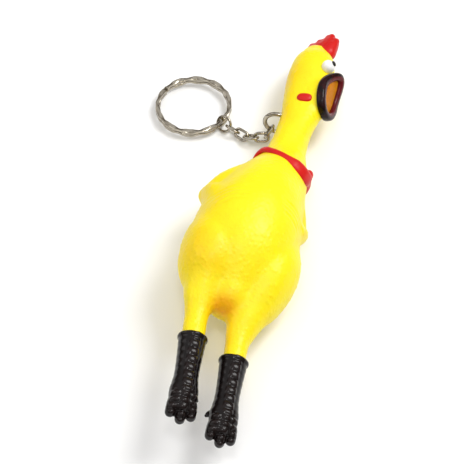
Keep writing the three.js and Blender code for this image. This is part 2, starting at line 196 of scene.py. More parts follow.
@dataclass
class Form:
    """A closed surface: points in the row frame, in millimetres, and the faces between them."""

    points: np.ndarray
    faces: list[tuple[int, ...]]

    @classmethod
    def of(cls, forms: Iterable[Form]) -> Form:
        """Several forms as one, overlapping where they do.

        Args:
            forms: the forms to put together.

        Returns:
            The one form.
        """
        points: list[np.ndarray] = []
        faces: list[tuple[int, ...]] = []
        count = 0
        for form in forms:
            points.append(form.points)
            faces += [tuple(i + count for i in face) for face in form.faces]
            count += len(form.points)
        return cls(np.concatenate(points), faces)

    @classmethod
    def of_mesh(cls, mesh: bpy.types.Mesh) -> Form:
        """The form of a mesh.

        Args:
            mesh: the mesh to read.

        Returns:
            The form.
        """
        points = np.empty(len(mesh.vertices) * 3, np.float32)
        mesh.vertices.foreach_get("co", points)
        return cls(points.reshape(-1, 3).astype(float), [tuple(p.vertices) for p in mesh.polygons])

    def mesh(self, name: str = "work", scale: float = 1.0) -> bpy.types.Mesh:
        """The form as a mesh, its points multiplied by scale.

        Args:
            name: the mesh's name.
            scale: what each coordinate is multiplied by.

        Returns:
            The new mesh.
        """
        made = bpy.data.meshes.new(name)
        made.from_pydata((self.points * scale).tolist(), [], self.faces)
        made.update()
        return made

    def tree(self) -> BVHTree:
        """A search tree over the form's faces."""
        return BVHTree.FromPolygons(self.points.tolist(), self.faces)

    def moved(self, offset: Callable[[np.ndarray, np.ndarray], np.ndarray]) -> Form:
        """The form with each point moved along its own normal.

        Args:
            offset: the distances, from the points and their normals.

        Returns:
            The new form.
        """
        mesh = self.mesh()
        normals = np.empty(len(mesh.vertices) * 3, np.float32)
        mesh.vertex_normals.foreach_get("vector", normals)
        bpy.data.meshes.remove(mesh)
        normals = normals.reshape(-1, 3).astype(float)
        return Form(self.points + normals * offset(self.points, normals)[:, None], self.faces)


def spline(values: np.ndarray, steps: int) -> np.ndarray:
    """A smooth run through rows of values.

    Args:
        values: one row for each station.
        steps: how many steps the whole run has.

    Returns:
        steps + 1 rows, by Catmull and Rom's curve.
    """
    padded = np.vstack([2 * values[0] - values[1], values, 2 * values[-1] - values[-2]])
    rows = []
    for t in np.linspace(0, len(values) - 1, steps + 1):
        i = min(int(t), len(values) - 2)
        a, b, c, d = padded[i : i + 4]
        u = t - i
        square = 2 * a - 5 * b + 4 * c - d
        cubic = 3 * b - a - 3 * c + d
        rows.append(0.5 * (2 * b + (c - a) * u + square * u**2 + cubic * u**3))
    return np.array(rows)


def skin_over(rings: np.ndarray, closed: bool = False) -> Form:
    """A surface over rings of points.

    Args:
        rings: ring by ring, the points round each.
        closed: whether the last ring joins the first; if not, each end is one flat face.

    Returns:
        The closed form.
    """
    count, around = rings.shape[:2]
    faces: list[tuple[int, ...]] = []
    for i in range(count if closed else count - 1):
        here, there = i * around, (i + 1) % count * around
        for j in range(around):
            k = (j + 1) % around
            faces.append((here + j, there + j, there + k, here + k))
    if not closed:
        faces.append(tuple(range(around)))
        faces.append(tuple(reversed(range((count - 1) * around, count * around))))
    return Form(rings.reshape(-1, 3), faces)


def soft_tube(
    place: Place,
    stations: Sequence[Station],
    ends: tuple[End, End] = (End.ROUND, End.ROUND),
) -> Form:
    """A soft tube through stations.

    Args:
        place: the frame of the stations.
        stations: middle x, y, z, then the radii to the side, the front (+Z) and the back.
        ends: how the first and the last end are closed.

    Returns:
        The closed form.
    """
    around, per_station, dome_steps = 40, 6, 5
    rows = spline(np.array(stations, float), per_station * (len(stations) - 1))
    middles, radii = rows[:, :3], rows[:, 3:]
    tangents = np.gradient(middles, axis=0)
    tangents /= np.linalg.norm(tangents, axis=1)[:, None]
    dome = [math.pi / 2 * (i + 0.4) / dome_steps for i in range(dome_steps)]
    steps = [(i, 1.0, 0.0) for i in range(len(rows))]
    if ends[0] is End.ROUND:
        steps = [(0, math.sin(a), -math.cos(a)) for a in dome] + steps
    if ends[1] is End.ROUND:
        steps += [(len(rows) - 1, math.sin(a), math.cos(a)) for a in reversed(dome)]
    angles = np.arange(around) * TAU / around
    cosines, sines = np.cos(angles)[:, None], np.sin(angles)[:, None]
    rings = []
    for i, shrink, out in steps:
        across = np.cross(tangents[i], (0, 0, 1))
        across /= np.linalg.norm(across)
        front = np.cross(across, tangents[i])
        side_radius, front_radius, back_radius = radii[i]
        depth = np.where(sines > 0, front_radius, back_radius)
        middle = middles[i] + tangents[i] * out * side_radius
        rings.append(middle + (across * cosines * side_radius + front * sines * depth) * shrink)
    local = np.array(rings)
    axes = np.array([place.x, place.y, place.z])
    return skin_over(local @ axes + np.array(place.origin))


def egg(place: Place, middle: Triple, radii: Triple, turned: Matrix | None = None) -> Form:
    """A closed ellipsoid.

    Args:
        place: the frame of the middle and the radii.
        middle: the ellipsoid's middle.
        radii: its radii along the frame's axes.
        turned: a turn of the ellipsoid about its middle, in that frame.

    Returns:
        The form.
    """
    rows, around = 20, 32
    rings = []
    for i in range(rows):
        polar = math.pi * (i + 0.5) / rows
        ring = []
        for j in range(around):
            turn = -TAU * j / around
            across = math.sin(polar)
            point = Vector((across * math.cos(turn), math.cos(polar), across * math.sin(turn)))
            point = Vector(a * b for a, b in zip(point, radii, strict=True))
            ring.append((turned @ point if turned else point) + Vector(middle))
        rings.append([place.at(*point) for point in ring])
    return skin_over(np.array(rings)[::-1])


def swept(
    path: Sequence[Vector],
    up: Vector,
    section: Callable[[float], Sequence[tuple[float, float]]],
    closed: bool = True,
) -> Form:
    """A section carried along a path.

    Args:
        path: the middle line.
        up: the direction that the section's second coordinate stands to.
        section: the section's outline at a share of the path from 0 to 1, across and up.
        closed: whether the path is a loop.

    Returns:
        The closed form.
    """
    rings = []
    count = len(path)
    for i, point in enumerate(path):
        ahead = path[(i + 1) % count] if closed or i + 1 < count else point
        behind = path[i - 1] if closed or i > 0 else point
        tangent = (ahead - behind).normalized()
        across = tangent.cross(up).normalized()
        lift = across.cross(tangent)
        rings.append([point + across * a + lift * b for a, b in section(i / count)])
    return skin_over(np.array(rings), closed)


def round_section(radius: float, sides: int = 16) -> Callable[[float], list[tuple[float, float]]]:
    """The section of a round wire."""
    outline = [(radius * math.cos(TAU * j / sides), radius * math.sin(TAU * j / sides)) for j in range(sides)]
    return lambda share: outline


def squared(turn: float, power: float) -> tuple[float, float]:
    """A point of a circle, pushed out towards a square.

    Args:
        turn: its angle, in radians.
        power: 1 for a circle; the smaller, the squarer.

    Returns:
        The point, across and up.
    """
    across, up = math.cos(turn), math.sin(turn)
    return math.copysign(abs(across) ** power, across), math.copysign(abs(up) ** power, up)


# ---- Work on shapes ----


def modified(form: Form, *steps: tuple[str, dict]) -> Form:
    """A form after a stack of modifiers.

    Args:
        form: the form to start from.
        steps: each modifier's type and settings.

    Returns:
        The new form.
    """
    obj = bpy.data.objects.new("work", form.mesh())
    bpy.context.scene.collection.objects.link(obj)
    for kind, settings in steps:
        modifier = obj.modifiers.new(kind, kind)
        for name, value in settings.items():
            setattr(modifier, name, value)
    graph = bpy.context.evaluated_depsgraph_get()
    result = bpy.data.meshes.new_from_object(obj.evaluated_get(graph))
    made = Form.of_mesh(result)
    mesh = obj.data
    bpy.data.objects.remove(obj)
    bpy.data.meshes.remove(mesh)
    bpy.data.meshes.remove(result)
    return made


def fused(form: Form, voxel: float, rounds: int) -> Form:
    """A form with its overlaps melted into one skin.

    Args:
        form: one or more closed surfaces.
        voxel: the size of the new faces.
        rounds: how many rounds of smoothing the skin gets.

    Returns:
        The new form.
    """
    return modified(
        form,
        ("REMESH", {"mode": "VOXEL", "voxel_size": voxel}),
        ("SMOOTH", {"factor": 0.5, "iterations": rounds}),
    )


def combined(form: Form, other: Form, operation: str) -> Form:
    """A form cut by another, or kept only inside it.

    Args:
        form: the form to work on.
        other: the cutter.
        operation: DIFFERENCE or INTERSECT.

    Returns:
        The new form.
    """
    cutter = bpy.data.objects.new("cutter", other.mesh())
    bpy.context.scene.collection.objects.link(cutter)
    settings = {"operation": operation, "object": cutter, "solver": "MANIFOLD"}
    made = modified(form, ("BOOLEAN", settings))
    mesh = cutter.data
    bpy.data.objects.remove(cutter)
    bpy.data.meshes.remove(mesh)
    return made


def block(place: Place, low: Triple, high: Triple) -> Form:
    """A box between two corners of a frame.

    Args:
        place: the frame.
        low: the corner with the lowest coordinates.
        high: the corner with the highest.

    Returns:
        The box.
    """
    corners = [(x, y, z) for x in (low[0], high[0]) for y in (low[1], high[1]) for z in (low[2], high[2])]
    points = np.array([place.at(*corner) for corner in corners])
    faces = [(0, 1, 3, 2), (4, 6, 7, 5), (0, 4, 5, 1), (2, 3, 7, 6), (0, 2, 6, 4), (1, 5, 7, 3)]
    return Form(points, faces)


def bell(points: np.ndarray, middle: Triple, spread: float) -> np.ndarray:
    """A soft spot: 1 at the middle, falling away over the spread."""
    return np.exp(-((points - np.array(middle)) ** 2).sum(1) / spread**2)


def ramp(values: np.ndarray, start: float, end: float) -> np.ndarray:
    """A smooth step from 0 at start to 1 at end."""
    share = np.clip((values - start) / (end - start), 0, 1)
    return share * share * (3 - 2 * share)


# ---- Finishes ----


class Graph:
    """One material's nodes, with its principled shader."""

    def __init__(self, name: str) -> None:
        """Makes the material with an empty node tree and a shader on its output.

        Args:
            name: the material's name.
        """
        self.material = bpy.data.materials.new(name)
        self.material.use_nodes = True
        self.tree = self.material.node_tree
        self.tree.nodes.clear()
        output = self.add("ShaderNodeOutputMaterial")
        self.shader = self.add("ShaderNodeBsdfPrincipled")
        self.tree.links.new(self.shader.outputs["BSDF"], output.inputs["Surface"])
        self.place = self.add("ShaderNodeTexCoord").outputs["Object"]

    def add(self, kind: str, **settings: object) -> bpy.types.Node:
        """A new node with its settings.

        Args:
            kind: the node's type.
            settings: its properties, by name.

        Returns:
            The node.
        """
        node = self.tree.nodes.new(kind)
        for name, value in settings.items():
            setattr(node, name, value)
        return node

    def join(self, source: bpy.types.NodeSocket, target: bpy.types.NodeSocket) -> None:
        """Links an output to an input."""
        self.tree.links.new(source, target)

    def grain(self, size: float, detail: float = 3.0) -> bpy.types.NodeSocket:
        """Noise of a grain size in millimetres, from 0 to 1.

        Args:
            size: how far apart the grains are.
            detail: how many finer layers it has.

        Returns:
            The noise.
        """
        node = self.add("ShaderNodeTexNoise")
        node.inputs["Scale"].default_value = 1 / (size * MM)
        node.inputs["Detail"].default_value = detail
        self.join(self.place, node.inputs["Vector"])
        return node.outputs["Fac"]

    def cells(self, size: float) -> bpy.types.NodeSocket:
        """The distance to the nearest of points strewn a size apart, in millimetres.

        Args:
            size: how far apart the points are.

        Returns:
            The distance, as a share of the size.
        """
        node = self.add("ShaderNodeTexVoronoi")
        node.inputs["Scale"].default_value = 1 / (size * MM)
        self.join(self.place, node.inputs["Vector"])
        return node.outputs["Distance"]

    def painted(self, name: str) -> bpy.types.NodeSocket:
        """A value that is stored on the piece's points."""
        return self.add("ShaderNodeAttribute", attribute_name=name).outputs["Fac"]

    def spread(self, source: bpy.types.NodeSocket, *stops: float) -> bpy.types.NodeSocket:
        """A value carried from one range to another.

        Args:
            source: the value.
            stops: its low and high, then the low and high that they become.

        Returns:
            The new value, held inside its range.
        """
        node = self.add("ShaderNodeMapRange")
        for name, value in zip(("From Min", "From Max", "To Min", "To Max"), stops, strict=True):
            node.inputs[name].default_value = value
        self.join(source, node.inputs["Value"])
        return node.outputs["Result"]

    def mixed(self, share: bpy.types.NodeSocket, first: object, second: object) -> bpy.types.NodeSocket:
        """A colour between two.

        Args:
            share: how much of the second there is.
            first: a colour or a socket.
            second: a colour or a socket.

        Returns:
            The mixed colour.
        """
        node = self.add("ShaderNodeMix", data_type="RGBA")
        self.join(share, node.inputs["Factor"])
        colours = [s for s in node.inputs if s.type == "RGBA"]
        for socket, colour in zip(colours, (first, second), strict=True):
            if isinstance(colour, bpy.types.NodeSocket):
                self.join(colour, socket)
            else:
                socket.default_value = (*colour, 1.0)
        return next(s for s in node.outputs if s.type == "RGBA")

    def relief(self, *layers: tuple[bpy.types.NodeSocket, float]) -> None:
        """Bumps on the shader's normal.

        Args:
            layers: each height and how tall it is, in millimetres.
        """
        last = None
        for height, tall in layers:
            node = self.add("ShaderNodeBump")
            node.inputs["Distance"].default_value = tall * MM
            self.join(height, node.inputs["Height"])
            if last:
                self.join(last, node.inputs["Normal"])
            last = node.outputs["Normal"]
        self.join(last, self.shader.inputs["Normal"])

    def set(self, **values: float) -> None:
        """Sets the shader's own sockets, by name with spaces as underscores."""
        for name, value in values.items():
            self.shader.inputs[name.replace("_", " ")].default_value = value


@dataclass(frozen=True)
class Vinyl:
    """Soft yellow vinyl with a pimpled skin and a faint random orange mottle, with painted shade in orange in
    its folds, its flank and under the jaw, and orange painted shade in the mouth's hollow.
    """

    name: str = "yellow_vinyl_skin"
    lit: Triple = (0.94, 0.77, 0.004)
    # Orange for the random mottle, and for the painted shade in the folds, the flank and under the jaw.
    mottle_and_shade_orange: Triple = (0.93, 0.47, 0.003)
    # Orange painted shade for the hollow of the open mouth.
    mouth: Triple = (0.88, 0.34, 0.004)
    glow_depth: float = 0.7

    def build(self) -> bpy.types.Material:
        """The finished material.

        Returns:
            The material.
        """
        graph = Graph(self.name)
        mottle = graph.spread(graph.grain(9, 2), 0.4, 0.8, 0.0, 0.16)
        base = graph.mixed(mottle, self.lit, self.mottle_and_shade_orange)
        # Painted shade: the yellow turns orange in the crotch, the flank, under the jaw and low on the legs.
        base = graph.mixed(graph.painted("painted_shade"), base, self.mottle_and_shade_orange)
        # Painted shade: the mouth's hollow turns orange.
        base = graph.mixed(graph.painted("mouth"), base, self.mouth)
        graph.join(base, graph.shader.inputs["Base Color"])
        graph.join(graph.spread(graph.grain(3, 4), 0.3, 0.7, 0.34, 0.46), graph.shader.inputs["Roughness"])
        pimples = graph.spread(graph.cells(1.5), 0.0, 0.5, 1.0, 0.0)
        graph.relief((pimples, 0.09), (graph.grain(0.5, 3), 0.04))
        graph.set(Subsurface_Weight=0.3, Subsurface_Scale=self.glow_depth * MM, IOR=1.38)
        graph.shader.inputs["Subsurface Radius"].default_value = (1.0, 0.55, 0.08)
        return graph.material


@dataclass(frozen=True)
class Paint:
    """Glossy paint on soft vinyl, with brush streaks and a thinner tone where a stored value asks for it."""

    name: str
    full: Triple
    thin: Triple
    gloss: float = 0.3
    edge: str = ""
    brush: float = 0.05
    shine: float = 1.45

    def build(self) -> bpy.types.Material:
        """The finished material.

        Returns:
            The material; edge names a stored value that shows the thin tone.
        """
        graph = Graph(self.name)
        streaks = graph.spread(graph.grain(2.2, 4), 0.4, 0.75, 0.0, 0.3)
        base = graph.mixed(streaks, self.full, self.thin)
        if self.edge:
            base = graph.mixed(graph.painted(self.edge), base, self.thin)
        graph.join(base, graph.shader.inputs["Base Color"])
        rough = graph.spread(graph.grain(1.2, 3), 0.3, 0.7, self.gloss - 0.03, self.gloss + 0.07)
        graph.join(rough, graph.shader.inputs["Roughness"])
        graph.relief((graph.grain(0.9, 3), self.brush), (graph.grain(0.25, 2), self.brush / 5))
        graph.set(IOR=self.shine)
        return graph.material


@dataclass(frozen=True)
class Metal:
    """Plated metal with fine scratches and a slightly duller film in places."""

    name: str
    bright: Triple
    dull: Triple
    gloss: float = 0.16

    def build(self) -> bpy.types.Material:
        """The finished material.

        Returns:
            The material.
        """
        graph = Graph(self.name)
        film = graph.spread(graph.grain(1.6, 5), 0.45, 0.75, 0.0, 0.8)
        graph.join(graph.mixed(film, self.bright, self.dull), graph.shader.inputs["Base Color"])
        rough = graph.spread(graph.grain(0.6, 4), 0.3, 0.8, self.gloss, self.gloss + 0.16)
        graph.join(rough, graph.shader.inputs["Roughness"])
        graph.relief((graph.grain(1.1, 2), 0.05), (graph.grain(0.3, 4), 0.01))
        graph.set(Metallic=1.0)
        return graph.material


@dataclass(frozen=True)
class Moulding:
    """Matt moulded plastic with a faint grain."""

    name: str
    colour: Triple
    shade: Triple

    def build(self) -> bpy.types.Material:
        """The finished material.

        Returns:
            The material.
        """
        graph = Graph(self.name)
        graph.join(graph.mixed(graph.grain(1.5), self.colour, self.shade), graph.shader.inputs["Base Color"])
        graph.join(graph.spread(graph.grain(0.4), 0.3, 0.7, 0.45, 0.6), graph.shader.inputs["Roughness"])
        graph.relief((graph.grain(0.2), 0.01))
        return graph.material


class Finishes:
    """Every finish of the toy, each built once."""

    def __init__(self) -> None:
        """Builds the materials."""
        self.vinyl = Vinyl().build()
        self.red = Paint("red_paint", (0.56, 0.004, 0.003), (0.7, 0.02, 0.006),
                         gloss=0.36, shine=1.38).build()
        self.lips = Paint("beak_rim_paint", (0.004, 0.001, 0.0016), (0.1, 0.003, 0.006),
                          gloss=0.22, edge="lip_edge", brush=0.03, shine=1.3).build()
        self.boots = Paint("boot_paint", (0.0035, 0.0022, 0.0022), (0.016, 0.007, 0.006),
                           gloss=0.16, edge="scute", brush=0.015, shine=1.33).build()
        self.white = Paint("eye_white_paint", (0.86, 0.86, 0.84), (0.78, 0.77, 0.72), 0.22).build()
        self.black = Paint("pupil_paint", (0.006, 0.006, 0.006), (0.02, 0.018, 0.016), 0.22).build()
        self.nickel = Metal("nickel_plate", (0.44, 0.4, 0.33), (0.2, 0.165, 0.12), 0.08).build()
        self.brass = Metal("reed_brass", (0.72, 0.55, 0.24), (0.5, 0.36, 0.14)).build()
        self.plastic = Moulding("squeaker_plastic", (0.8, 0.78, 0.72), (0.68, 0.65, 0.58)).build()


def piece(
    name: str,
    form: Form,
    material: bpy.types.Material,
    nodes: Sequence[str],
    values: dict[str, np.ndarray] | None = None,
    crease: float = 50.0,
) -> bpy.types.Object:
    """A visible piece from a form.

    Args:
        name: the piece's name.
        form: its shape, in millimetres.
        material: its finish.
        nodes: the CAD nodes that it stands for.
        values: values to store on its points, by name.
        crease: edges sharper than this many degrees stay sharp.

    Returns:
        The new object, in metres.
    """
    mesh = form.mesh(name, MM)
    mesh.shade_smooth()
    mesh.set_sharp_from_angle(angle=math.radians(crease))
    for key, numbers in (values or {}).items():
        mesh.attributes.new(key, "FLOAT", "POINT").data.foreach_set("value", numbers.astype(np.float32))
    mesh.materials.append(material)
    obj = bpy.data.objects.new(name, mesh)
    bpy.context.scene.collection.objects.link(obj)
    if nodes:
        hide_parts(*nodes)
    LOG.info("%s: %d points", name, len(mesh.vertices))
    return obj


# ---- Skin ----


@dataclass(frozen=True)
class Beak:
    """The open beak: the loop that its lips follow, and the muzzle behind them."""

    middle: Triple = (0, 29.0, 9.9)
    half: tuple[float, float] = (5.3, 7.9)
    reach: tuple[float, float] = (2.7, 0.0)
    section: tuple[float, float] = (1.35, 1.45)
    taper: float = 0.14
    tip_rise: float = 0.4
    tip_sharpness: int = 8
    steps: int = 96
    depths: tuple[float, ...] = (-0.2, 1.6, 3.6, 7.0)
    widths: tuple[float, ...] = (1.0, 1.06, 1.1, 1.04)

    def path(self, head: Place, width: float = 1.0, back: float = 0.0) -> list[Vector]:
        """The loop of the lips.

        Args:
            head: the head's frame.
            width: how much wider than the lips the loop is.
            back: how far behind the lips it lies.

        Returns:
            The points, from the chicken's left by way of the top.
        """
        points = []
        for i in range(self.steps):
            angle = TAU * i / self.steps
            across, up = math.cos(angle), math.sin(angle)
            reach = up * up * self.reach[0 if up > 0 else 1]
            tip = self.tip_rise * max(0.0, up) ** self.tip_sharpness
            points.append(head.at(across * self.half[0] * (1 - self.taper * up) * width,
                                  self.middle[1] + (up * self.half[1] + tip) * (1 + (width - 1) / 2),
                                  self.middle[2] + reach - back))
        return points

    def muzzle(self, head: Place) -> Form:
        """The skin behind the lips, which carries them out from the face."""
        rings = [self.path(head, width, depth) for width, depth in zip(self.widths, self.depths, strict=True)]
        return skin_over(np.array(rings)[::-1])


@dataclass
class Skin:
    """The yellow moulding: torso, belly, neck, head and shanks, as one skin that is split where it bends."""

    frames: Frames
    finishes: Finishes
    fine: float = 0.42
    fine_rounds: int = 3
    coarse: float = 0.7
    coarse_rounds: int = 22
    neck_cut: float = -2.0
    neck_bent: float = 8.0
    head_cut: float = 11.0
    head_turned: float = 17.3
    belly_cut: float = 8.0
    belly_kept: float = 0.15
    crotch_x: float = -6.8
    shank_end: float = -10.4
    left_fuller: float = 1.0
    leg_cuts: dict[Side, float] = field(default_factory=lambda: {Side.RIGHT: -65.6, Side.LEFT: -66.2})
    leg_bend: float = 7.5
    pimple_apart: float = 1.9
    pimple_height: float = 0.16
    pimple_reach: float = 0.42
    wave_apart: float = 7.0
    wave_height: float = 0.16
    fold_radii: Sequence[float] = (7.2, 9.0, 10.6, 12.0)
    fold_depth: float = 0.3
    fold_width: float = 0.45
    rest_height: float = 0.0
    rest_band: float = 1.2
    rest_share: float = 0.2
    seam_reach: float = 0.01
    beak: Beak = field(default_factory=Beak)
    mouth: tuple[Triple, Triple] = ((0, 28.7, 12.2), (4.4, 6.9, 9.6))
    form: Form = field(init=False)

    trunk: Sequence[Station] = (
        (0, 3, 0, 6.6, 6.6, 6.6),
        (0, -1.8, 0, 8.0, 8.0, 8.0),
        (-0.8, -8.6, 0, 10.6, 11.2, 12.2),
        (-3.4, -20, 0, 14.0, 15.5, 14.4),
        (-5.2, -32, 0, 17.0, 17.6, 14.8),
        (-5.4, -43, 0, 16.8, 16.6, 14.6),
        (-5.4, -51, 0, 13.6, 13.4, 12.4),
        (-5.6, -58, 0.2, 7.6, 8.6, 7.4),
    )
    skull: Sequence[Station] = (
        (0, -6, 0, 7.2, 7.2, 7.2),
        (0, 0, 0.1, 6.8, 6.8, 6.8),
        (0, 7, 0.2, 6.25, 6.4, 6.1),
        (0, 14, 0.3, 5.75, 6.8, 5.6),
        (0, 20, 0.3, 5.7, 8.4, 5.5),
        (0, 26, 0.5, 6.3, 8.8, 6.4),
        (0, 34, 0.5, 6.9, 9.3, 7.0),
        (0, 42, 0.6, 6.9, 9.2, 7.2),
        (0, 47.5, 0.8, 6.1, 7.8, 6.6),
        (0, 51, 0.9, 4.2, 5.6, 5.2),
    )

    def shape(self) -> None:
        """Builds the whole skin: lofts, melted together, then the fine relief."""
        rough = fused(Form.of(self._lofts()), self.coarse, self.coarse_rounds)
        self.form = fused(rough, self.fine, self.fine_rounds).moved(self._relief)
        for cutter in self._cutters():
            self.form = combined(self.form, cutter, "DIFFERENCE")

    def dress(self) -> None:
        """Splits the skin where it bends and makes its pieces."""
        torso, head = self.frames.torso, self.frames.head
        far = 150.0
        above = block(head, (-far, self.head_cut, -far), (far, far, far))
        neck_side = block(torso, (-far, self.neck_cut, -far), (far, far, far))
        self._part("head_skin", combined(self.form, above, "INTERSECT"), ["head_shell"],
                   head.at(0, self.head_cut, 0), head.at(0, self.head_turned, 0))
        rest = combined(self.form, above, "DIFFERENCE")
        self._part("neck_skin", combined(rest, neck_side, "INTERSECT"), ["neck_shell"],
                   torso.at(0, self.neck_cut, 0), torso.at(0, self.neck_bent, 0))
        rest = combined(rest, neck_side, "DIFFERENCE")
        for side, cut in self.leg_cuts.items():
            outer = side.sign * far
            low = (min(self.crotch_x, outer), -far, -far)
            high = (max(self.crotch_x, outer), cut, far)
            leg_side = block(torso, low, high)
            knee = torso.local(np.array([self.frames.legs[side].origin]))[0]
            self._part(f"{side.value}_shank_skin", combined(rest, leg_side, "INTERSECT"),
                       [f"{side.value}_shank"],
                       torso.at(knee[0], cut, knee[2]), torso.at(knee[0], cut - self.leg_bend, knee[2]))
            rest = combined(rest, leg_side, "DIFFERENCE")
        front = block(torso, (-far, -far, self.belly_cut), (far, far, far))
        belly = self._piece("belly_skin", combined(rest, front, "INTERSECT"), ["belly_panel"])
        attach(belly, "torso")
        torso.at(0, 0, self.belly_cut) * MM
        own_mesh(belly)
        back = self._piece("torso_skin", combined(rest, front, "DIFFERENCE"), ["torso_shell"])
        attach(back, "torso")

    def _piece(self, name: str, form: Form, nodes: Sequence[str]) -> bpy.types.Object:
        """One piece of the skin, with the values that its finish reads.

        Args:
            name: the piece's name.
            form: its shape.
            nodes: the CAD nodes that it stands for.

        Returns:
            The new object.
        """
        # Stored painted shade for the folds and flank, and for the mouth's hollow.
        values = {"painted_shade": self._painted_shade(form.points), "mouth": self._in_mouth(form.points)}
        made = piece(name, form, self.finishes.vinyl, nodes, values)
        self._crisp_seams(made.data, form.points)
        return made

    def _crisp_seams(self, mesh: bpy.types.Mesh, points: np.ndarray) -> None:
        """Keeps the shading of the skin from running over onto the flat faces where it was split.

        Args:
            mesh: the piece's mesh.
            points: its points, in millimetres.
        """
        sharp = mesh.attributes.get("sharp_edge") or mesh.attributes.new("sharp_edge", "BOOLEAN", "EDGE")
        flags = np.zeros(len(mesh.edges), bool)
        sharp.data.foreach_get("value", flags)
        torso, head = self.frames.torso.local(points), self.frames.head.local(points)
        heights = [torso[:, 2] - self.belly_cut, torso[:, 1] - self.neck_cut, head[:, 1] - self.head_cut,
                   torso[:, 0] - self.crotch_x, *(torso[:, 1] - cut for cut in self.leg_cuts.values())]
        ends = np.empty(len(mesh.edges) * 2, np.int32)
        mesh.edges.foreach_get("vertices", ends)
        ends = ends.reshape(-1, 2)
        corners = np.array([len(p.vertices) for p in mesh.polygons])
        owner = np.repeat(np.arange(len(corners)), corners)
        edge_of = np.empty(len(mesh.loops), np.int32)
        mesh.loops.foreach_get("edge_index", edge_of)
        vertex_of = np.empty(len(mesh.loops), np.int32)
        mesh.loops.foreach_get("vertex_index", vertex_of)
        for height in heights:
            level = np.abs(height) < self.seam_reach
            flat = np.bincount(owner, level[vertex_of], len(corners)) == corners
            caps_beside = np.bincount(edge_of, flat[owner], len(mesh.edges))
            flags |= caps_beside == 1
        sharp.data.foreach_set("value", flags)

    def _part(self, name: str, form: Form, nodes: Sequence[str],
              start: Vector, end: Vector) -> None:
        """One piece of the skin, with its transform baked into its points.

        Args:
            name: the piece's name.
            form: its shape.
            nodes: the CAD nodes that it stands for.
            start: where it would start to bend; not used.
            end: where it would have bent; not used.
        """
        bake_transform(self._piece(name, form, nodes))

    def _lofts(self) -> list[Form]:
        """The overlapping soft forms that the skin is melted from.

        Returns:
            The forms.
        """
        torso, head = self.frames.torso, self.frames.head
        forms = [soft_tube(torso, self.trunk), soft_tube(head, self.skull)]
        for side, place in self.frames.legs.items():
            forms.append(soft_tube(torso, self._thigh(side)))
            forms.append(soft_tube(place, (
                (0, self.shank_end, 0, 3.55, 3.5, 3.5),
                (0, -6, 0, 3.6, 3.6, 3.5),
                (0, 0, 0, 3.9, 4.0, 3.9),
                (side.sign * 0.4, 6, 0.3, 5.0, 5.1, 5.0),
            ), (End.SQUARE, End.ROUND)))
            forms += self._wing(side)
        forms.append(soft_tube(head, ((0, 39.4, 3, 4.6, 3.2, 3.2), (0, 37.8, 7.4, 3.2, 2.4, 2.4))))
        forms.append(soft_tube(head, ((0, 22.6, 1, 4.2, 3.2, 3.2), (0, 22.4, 4.6, 3.2, 2.2, 2.2))))
        forms.append(self.beak.muzzle(head))
        return forms

    def _thigh(self, side: Side) -> list[Station]:
        """The stations of a drumstick thigh, down to its knee.

        Args:
            side: which thigh.

        Returns:
            The stations, in the torso's frame.
        """
        hip_x = -5.2
        x, y, z = self.frames.torso.local(np.array([self.frames.legs[side].origin]))[0]
        out = side.sign
        fuller = self.left_fuller if side is Side.LEFT else 0.0
        return [
            (hip_x + out * 8.8, -36, 1, 8.6, 9.5, 7.6),
            (hip_x + out * 9.6, -45, 0.6, 9.6, 12.6, 9),
            (hip_x + out * 9.0 - fuller * 0.4, -54, 0.2, 8.6, 11.2, 8),
            (x + out * 0.3 + fuller * 0.7, y + 7, z, 5.6 + fuller * 0.7, 6.8, 5.4),
            (x + fuller * 0.35, y, z, 4.0 + fuller * 0.45, 4.1, 4.0),
        ]

    def _wing(self, side: Side) -> list[Form]:
        """A folded wing: the upper arm out to the elbow, and the forearm back over the flank.

        Args:
            side: which wing.

        Returns:
            Its two forms.
        """
        torso = self.frames.torso
        if side is Side.RIGHT:
            return [
                soft_tube(torso, (
                    (-8, -9, 1, 3.0, 6, 6),
                    (-15.8, -16.6, -1.4, 3.6, 6.4, 5),
                    (-21.6, -22.6, -4.2, 1.9, 3.4, 2.8),
                )),
                soft_tube(torso, (
                    (-21.0, -23.6, -4.2, 1.6, 3.4, 2.8),
                    (-18.6, -27, 1, 3.4, 6.4, 5),
                    (-15.8, -32, 4, 3, 6.6, 6),
                )),
            ]
        return [
            soft_tube(torso, (
                (4, -9, 1, 3.4, 6, 6),
                (8.6, -17.5, -2, 2.6, 5.6, 5),
                (13.4, -24, -4.6, 1.2, 2.9, 2.8),
            )),
            soft_tube(torso, (
                (13.2, -25, -4.6, 1.1, 2.8, 2.8),
                (10.8, -28, 0, 2.0, 4.8, 5),
                (8.5, -31, 4, 2, 5.0, 6),
            )),
        ]

    def _relief(self, points: np.ndarray, normals: np.ndarray) -> np.ndarray:
        """How far each point stands out: pimples, a soft unevenness and the wing folds.

        Args:
            points: the skin's points.
            normals: their normals, which moved() hands over.

        Returns:
            The distances, in millimetres.
        """
        local = self.frames.torso.local(points)
        head = self.frames.head.local(points)
        out = np.zeros(len(points))
        body = 1 - ramp(local[:, 1], -6, 2) * ramp(head[:, 2], 2, 6)
        shins = ramp(local[:, 1], -72, -62)
        for i, point in enumerate(points):
            spot = Vector(point / self.pimple_apart)
            near = noise.voronoi(spot)[0][0]
            out[i] = self.pimple_height * max(0.0, 1 - near / self.pimple_reach) ** 1.5
            out[i] *= 0.35 + 0.65 * shins[i] * body[i]
            out[i] += self.wave_height * noise.noise(Vector(point / self.wave_apart))
        out -= self._wing_folds(local)
        out[points[:, 2] < self.rest_height + self.rest_band] *= self.rest_share
        return out

